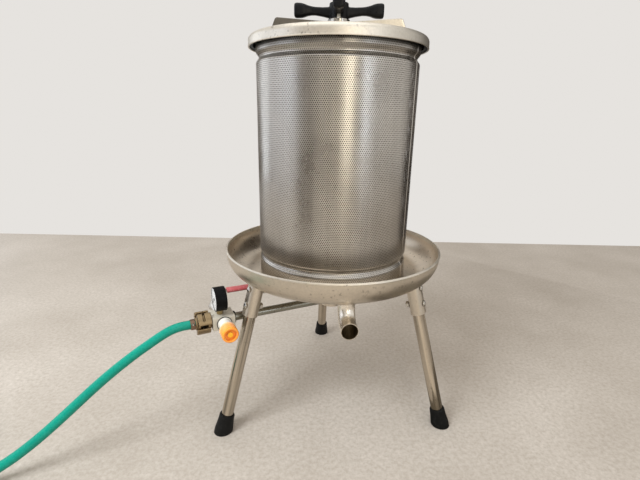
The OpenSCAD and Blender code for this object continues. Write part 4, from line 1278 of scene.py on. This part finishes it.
def bladder_ripple(radius, height, angle):
    fill = bladder_fill(height)
    wander = 0.35 * math.sin(height / 70)
    fold = 0.5 + 0.5 * math.cos(FOLDS * (angle + wander))
    fold += 0.22 * math.cos(2 * FOLDS * angle + height / 45)
    return radius - FOLD_DEPTH * fill * max(0, fold) ** 2


rises = np.linspace(BLADDER_LOW, BLADDER_HIGH, 110)
swell = BLADDER_RADIUS - BLADDER_NECK
bladder_line = [(BLADDER_NECK + swell * bladder_fill(z), z) for z in rises]
bladder_line += [(r - BLADDER_WALL, z) for r, z in reversed(bladder_line)]
bladder = turned("rubber_bladder", bladder_line, upright, bladder_rubber, "stand", "black_rubber",
                 180, bladder_ripple, 70)
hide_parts("bladder")
print("bladder folds:", FOLDS)

# %% [markdown]
# The safety valve's cap is a fluted plastic knob with a sunk face, where the yellow button
# of the valve spindle shows. Flutes could be cut one by one, but a ripple on the outer wall
# alone gives them all at once. The cap's skirt is thin enough for the white neck to show
# through, so it pales towards its end, and a rubber ring seals the neck's foot.

# %% Safety cap
TAP_S = 262.5
CAP_FROM, NECK_FROM = 44, 22
CAP_SIDES = 312
FLUTES = 26
FLUTE_DEPTH = 0.5
FLUTES_IN, FLUTES_END, FLUTES_FADE = 14, 30, 4
PALE_FROM, PALE_FADE, PALEST = 15, 9, 0.75
cap_outline = rounded([(17, 5), (17, 12), (17, 31), (15.2, 33), (12.5, 33), (12.5, 24.7),
                       (3.3, 24.7), (3.3, 8.3), (13.3, 8.3), (13.3, 5)], 0.9)


def tap_frame(out_mm):
    """A frame on the block's front, this far out from the feed line, with its z outwards."""
    to_front = Matrix.Rotation(math.radians(-90), 4, "X")
    return feed_frame @ Matrix.Translation((TAP_S * MM, out_mm * MM, 0)) @ to_front


def cap_flutes(radius, height, angle):
    if radius < FLUTES_IN or height > FLUTES_END:
        return radius
    groove = max(0, math.cos(FLUTES * angle)) ** 3
    return radius - FLUTE_DEPTH * groove * min(1, (FLUTES_END - height) / FLUTES_FADE)


safety_cap = turned("fluted_cap", cap_outline, tap_frame(CAP_FROM), cap_orange, "cap", "cap_orange",
                    CAP_SIDES, cap_flutes, 50)
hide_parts("safety_cap")
pale = safety_cap.data.attributes.new("pale", "FLOAT", "POINT")
pale_line = [PALEST * held((PALE_FROM - height) / PALE_FADE) for radius, height in cap_outline]
pale.data.foreach_set("value", pale_line * CAP_SIDES)
safety_cap.visible_glossy = False
neck_frame = tap_frame(NECK_FROM)
turned("neck_ring", circle(1.1, 12, (14.9, 1.2)), neck_frame, black_rubber, "stand",
       "black_rubber", 72, crease=80)
print("flutes on the cap:", FLUTES)

# %% [markdown]
# Behind the cap, inside the neck, a coil spring holds the valve shut. It is wound wire, so it
# is made as the hose is: a curve along a helix, with the thickness of the wire.

# %% Valve spring
SPRING_TURNS = 5
SPRING_RADIUS, WIRE_RADIUS = 6, 0.8
SPRING_FROM, SPRING_LENGTH = 6.5, 19.2
SPRING_STEPS = 160
low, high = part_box("safety_spring")
print("spring box", [round(v, 4) for v in low], [round(v, 4) for v in high])
spring_curve = bpy.data.curves.new("valve_spring", "CURVE")
spring_curve.dimensions = "3D"
spring_curve.bevel_depth = WIRE_RADIUS * MM
spring_curve.bevel_resolution = 3
spring_curve.use_fill_caps = True
wire = spring_curve.splines.new("POLY")
wire.points.add(SPRING_STEPS)
for i, point in enumerate(wire.points):
    t = i / SPRING_STEPS
    a = 2 * math.pi * SPRING_TURNS * t
    rise = SPRING_FROM + WIRE_RADIUS + (SPRING_LENGTH - 2 * WIRE_RADIUS) * t
    at = Vector((SPRING_RADIUS * math.cos(a), SPRING_RADIUS * math.sin(a), rise))
    point.co = (*(neck_frame @ (at * MM)), 1)
valve_spring = in_scene("valve_spring", spring_curve)
valve_spring.data.materials.append(bright_steel)
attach(valve_spring, nodes["safety_spring"]["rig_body"])
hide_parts("safety_spring")

# %% [markdown]
# The gauge is a black moulded cup with a domed clear window pressed on its front. In the
# picture the white dial shows even from the side, so it sits right behind the window: the dial
# and its needle are made again there, a few millimetres further out than in the plain model.

# %% Gauge case, dial and window
GAUGE_S, GAUGE_UP = 254, 48
DIAL_FACE = 22.4
gauge_frame = (feed_frame @ Matrix.Translation((GAUGE_S * MM, 0, GAUGE_UP * MM))
               @ Matrix.Rotation(math.radians(90), 4, "Y"))
cup_line = rounded([(0.01, 0), (25.9, 0), (25.9, 23.6), (23.8, 23.6), (23.8, 3), (0.01, 3)], 1.0)
case = turned("gauge_cup", cup_line, gauge_frame, gauge_black, "stand", "black_plastic", 120,
              crease=60)
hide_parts("gauge_case")
dial_line = [(1.3, DIAL_FACE - 0.6), (23.7, DIAL_FACE - 0.6), (23.7, DIAL_FACE), (1.3, DIAL_FACE)]
dial = turned("white_dial", dial_line, gauge_frame, dial_white, "stand", "dial_white", 96)
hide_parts("gauge_dial")
window_line = [(25.3, 23.5), (25.3, 24.6), (24.4, 25.6), (21, 26.6), (12, 27.3), (0.01, 27.5),
               (0.01, 26.5), (12, 26.3), (20.6, 25.6), (23.4, 24.9), (24.2, 24.2), (24.2, 23.5)]
window = turned("gauge_window", window_line, gauge_frame, clear_lens, "stand", "clear_lens", 120,
                crease=60)
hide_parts("gauge_lens")
print("gauge faces:", sum(len(o.data.polygons) for o in (case, dial, window)))

# %% [markdown]
# The needle is a thin black pointer with a round boss at its root, resting at zero. It could
# be drawn on the dial, but it turns when the pressure rises, so it is a piece of its own on
# its own body: two flat outlines, pushed out and joined in one mesh.

# %% Needle
SCALE_START, SCALE_SWEEP = -45, 270
dial_frame = gauge_frame @ Matrix.Translation((0, 0, DIAL_FACE * MM))
needle_frame = dial_frame @ Matrix.Rotation(math.radians(SCALE_START), 4, "Z")
needle_line = [(-6, -1.2), (17.5, -0.35), (18.5, 0), (17.5, 0.35), (-6, 1.2)]
needle_shape = pushed_out(needle_line, 0.9, 1.4, needle_frame)
boss_shape = pushed_out(circle(2.5, 32), 0.3, 1.8, dial_frame)
needle = in_scene("dial_needle", plain_mesh("dial_needle", [needle_shape, boss_shape]))
dress(needle, needle_black, "needle", 30)
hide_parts("gauge_needle")
print("needle faces:", len(needle.data.polygons))

# %% [markdown]
# The gauge reads pressure in bar. Its marks are thin printed strokes and plain numbers on the
# dial: zero at the lower left, the highest at the lower right, as on any gauge. Strokes are
# small flat boxes, and the numbers come from the built-in letters, turned into a mesh.

# %% Marks on the gauge
STROKES, STROKES_A_NUMBER = 30, 5
STROKE_END, STROKE_THICK = 21.5, 0.12
NUMBER_SIZE, NUMBER_OUT, INK_HALF = 5.2, 13.2, 0.06


def dial_turn(share):
    return Matrix.Rotation(math.radians(SCALE_START - SCALE_SWEEP * share), 4, "Z")


marks = []
for step in range(STROKES + 1):
    start, half = (19.0, 0.22) if step % STROKES_A_NUMBER else (17.0, 0.45)
    stroke = [(start, -half), (STROKE_END, -half), (STROKE_END, half), (start, half)]
    marks.append(pushed_out(stroke, 0, STROKE_THICK, dial_frame @ dial_turn(step / STROKES)))
numbers = STROKES // STROKES_A_NUMBER
for number in range(numbers + 1):
    letters = bpy.data.curves.new("dial_number", "FONT")
    letters.body = str(number)
    letters.size = NUMBER_SIZE * MM
    letters.extrude = INK_HALF * MM
    letters.align_x = "CENTER"
    letters.align_y = "CENTER"
    holder = in_scene("dial_number", letters)
    drawn = finished_mesh(holder)
    at = dial_turn(number / numbers) @ Vector((NUMBER_OUT, 0, INK_HALF))
    for_reading = dial_frame @ Matrix.Translation(at * MM) @ quarter_turn
    marks.append(([for_reading @ v.co for v in drawn.vertices],
                  [tuple(p.vertices) for p in drawn.polygons]))
    bpy.data.objects.remove(holder)
dial_marks = in_scene("dial_marks", plain_mesh("dial_marks", marks))
dress(dial_marks, needle_black, "stand", 30)
print("strokes and numbers:", len(marks))

# %% [markdown]
# The last pieces are hidden inside others and have the right shape already, so they only take
# a finish.

# %% Bare pieces
bare_finishes = {"drain_ball": bright_steel, "gauge_movement": stem_brass,
                 "claw_seal": black_rubber}
for node, finish in bare_finishes.items():
    nodes[node].data.materials.clear()
    nodes[node].data.materials.append(finish)
print("bare pieces with a finish:", list(bare_finishes))
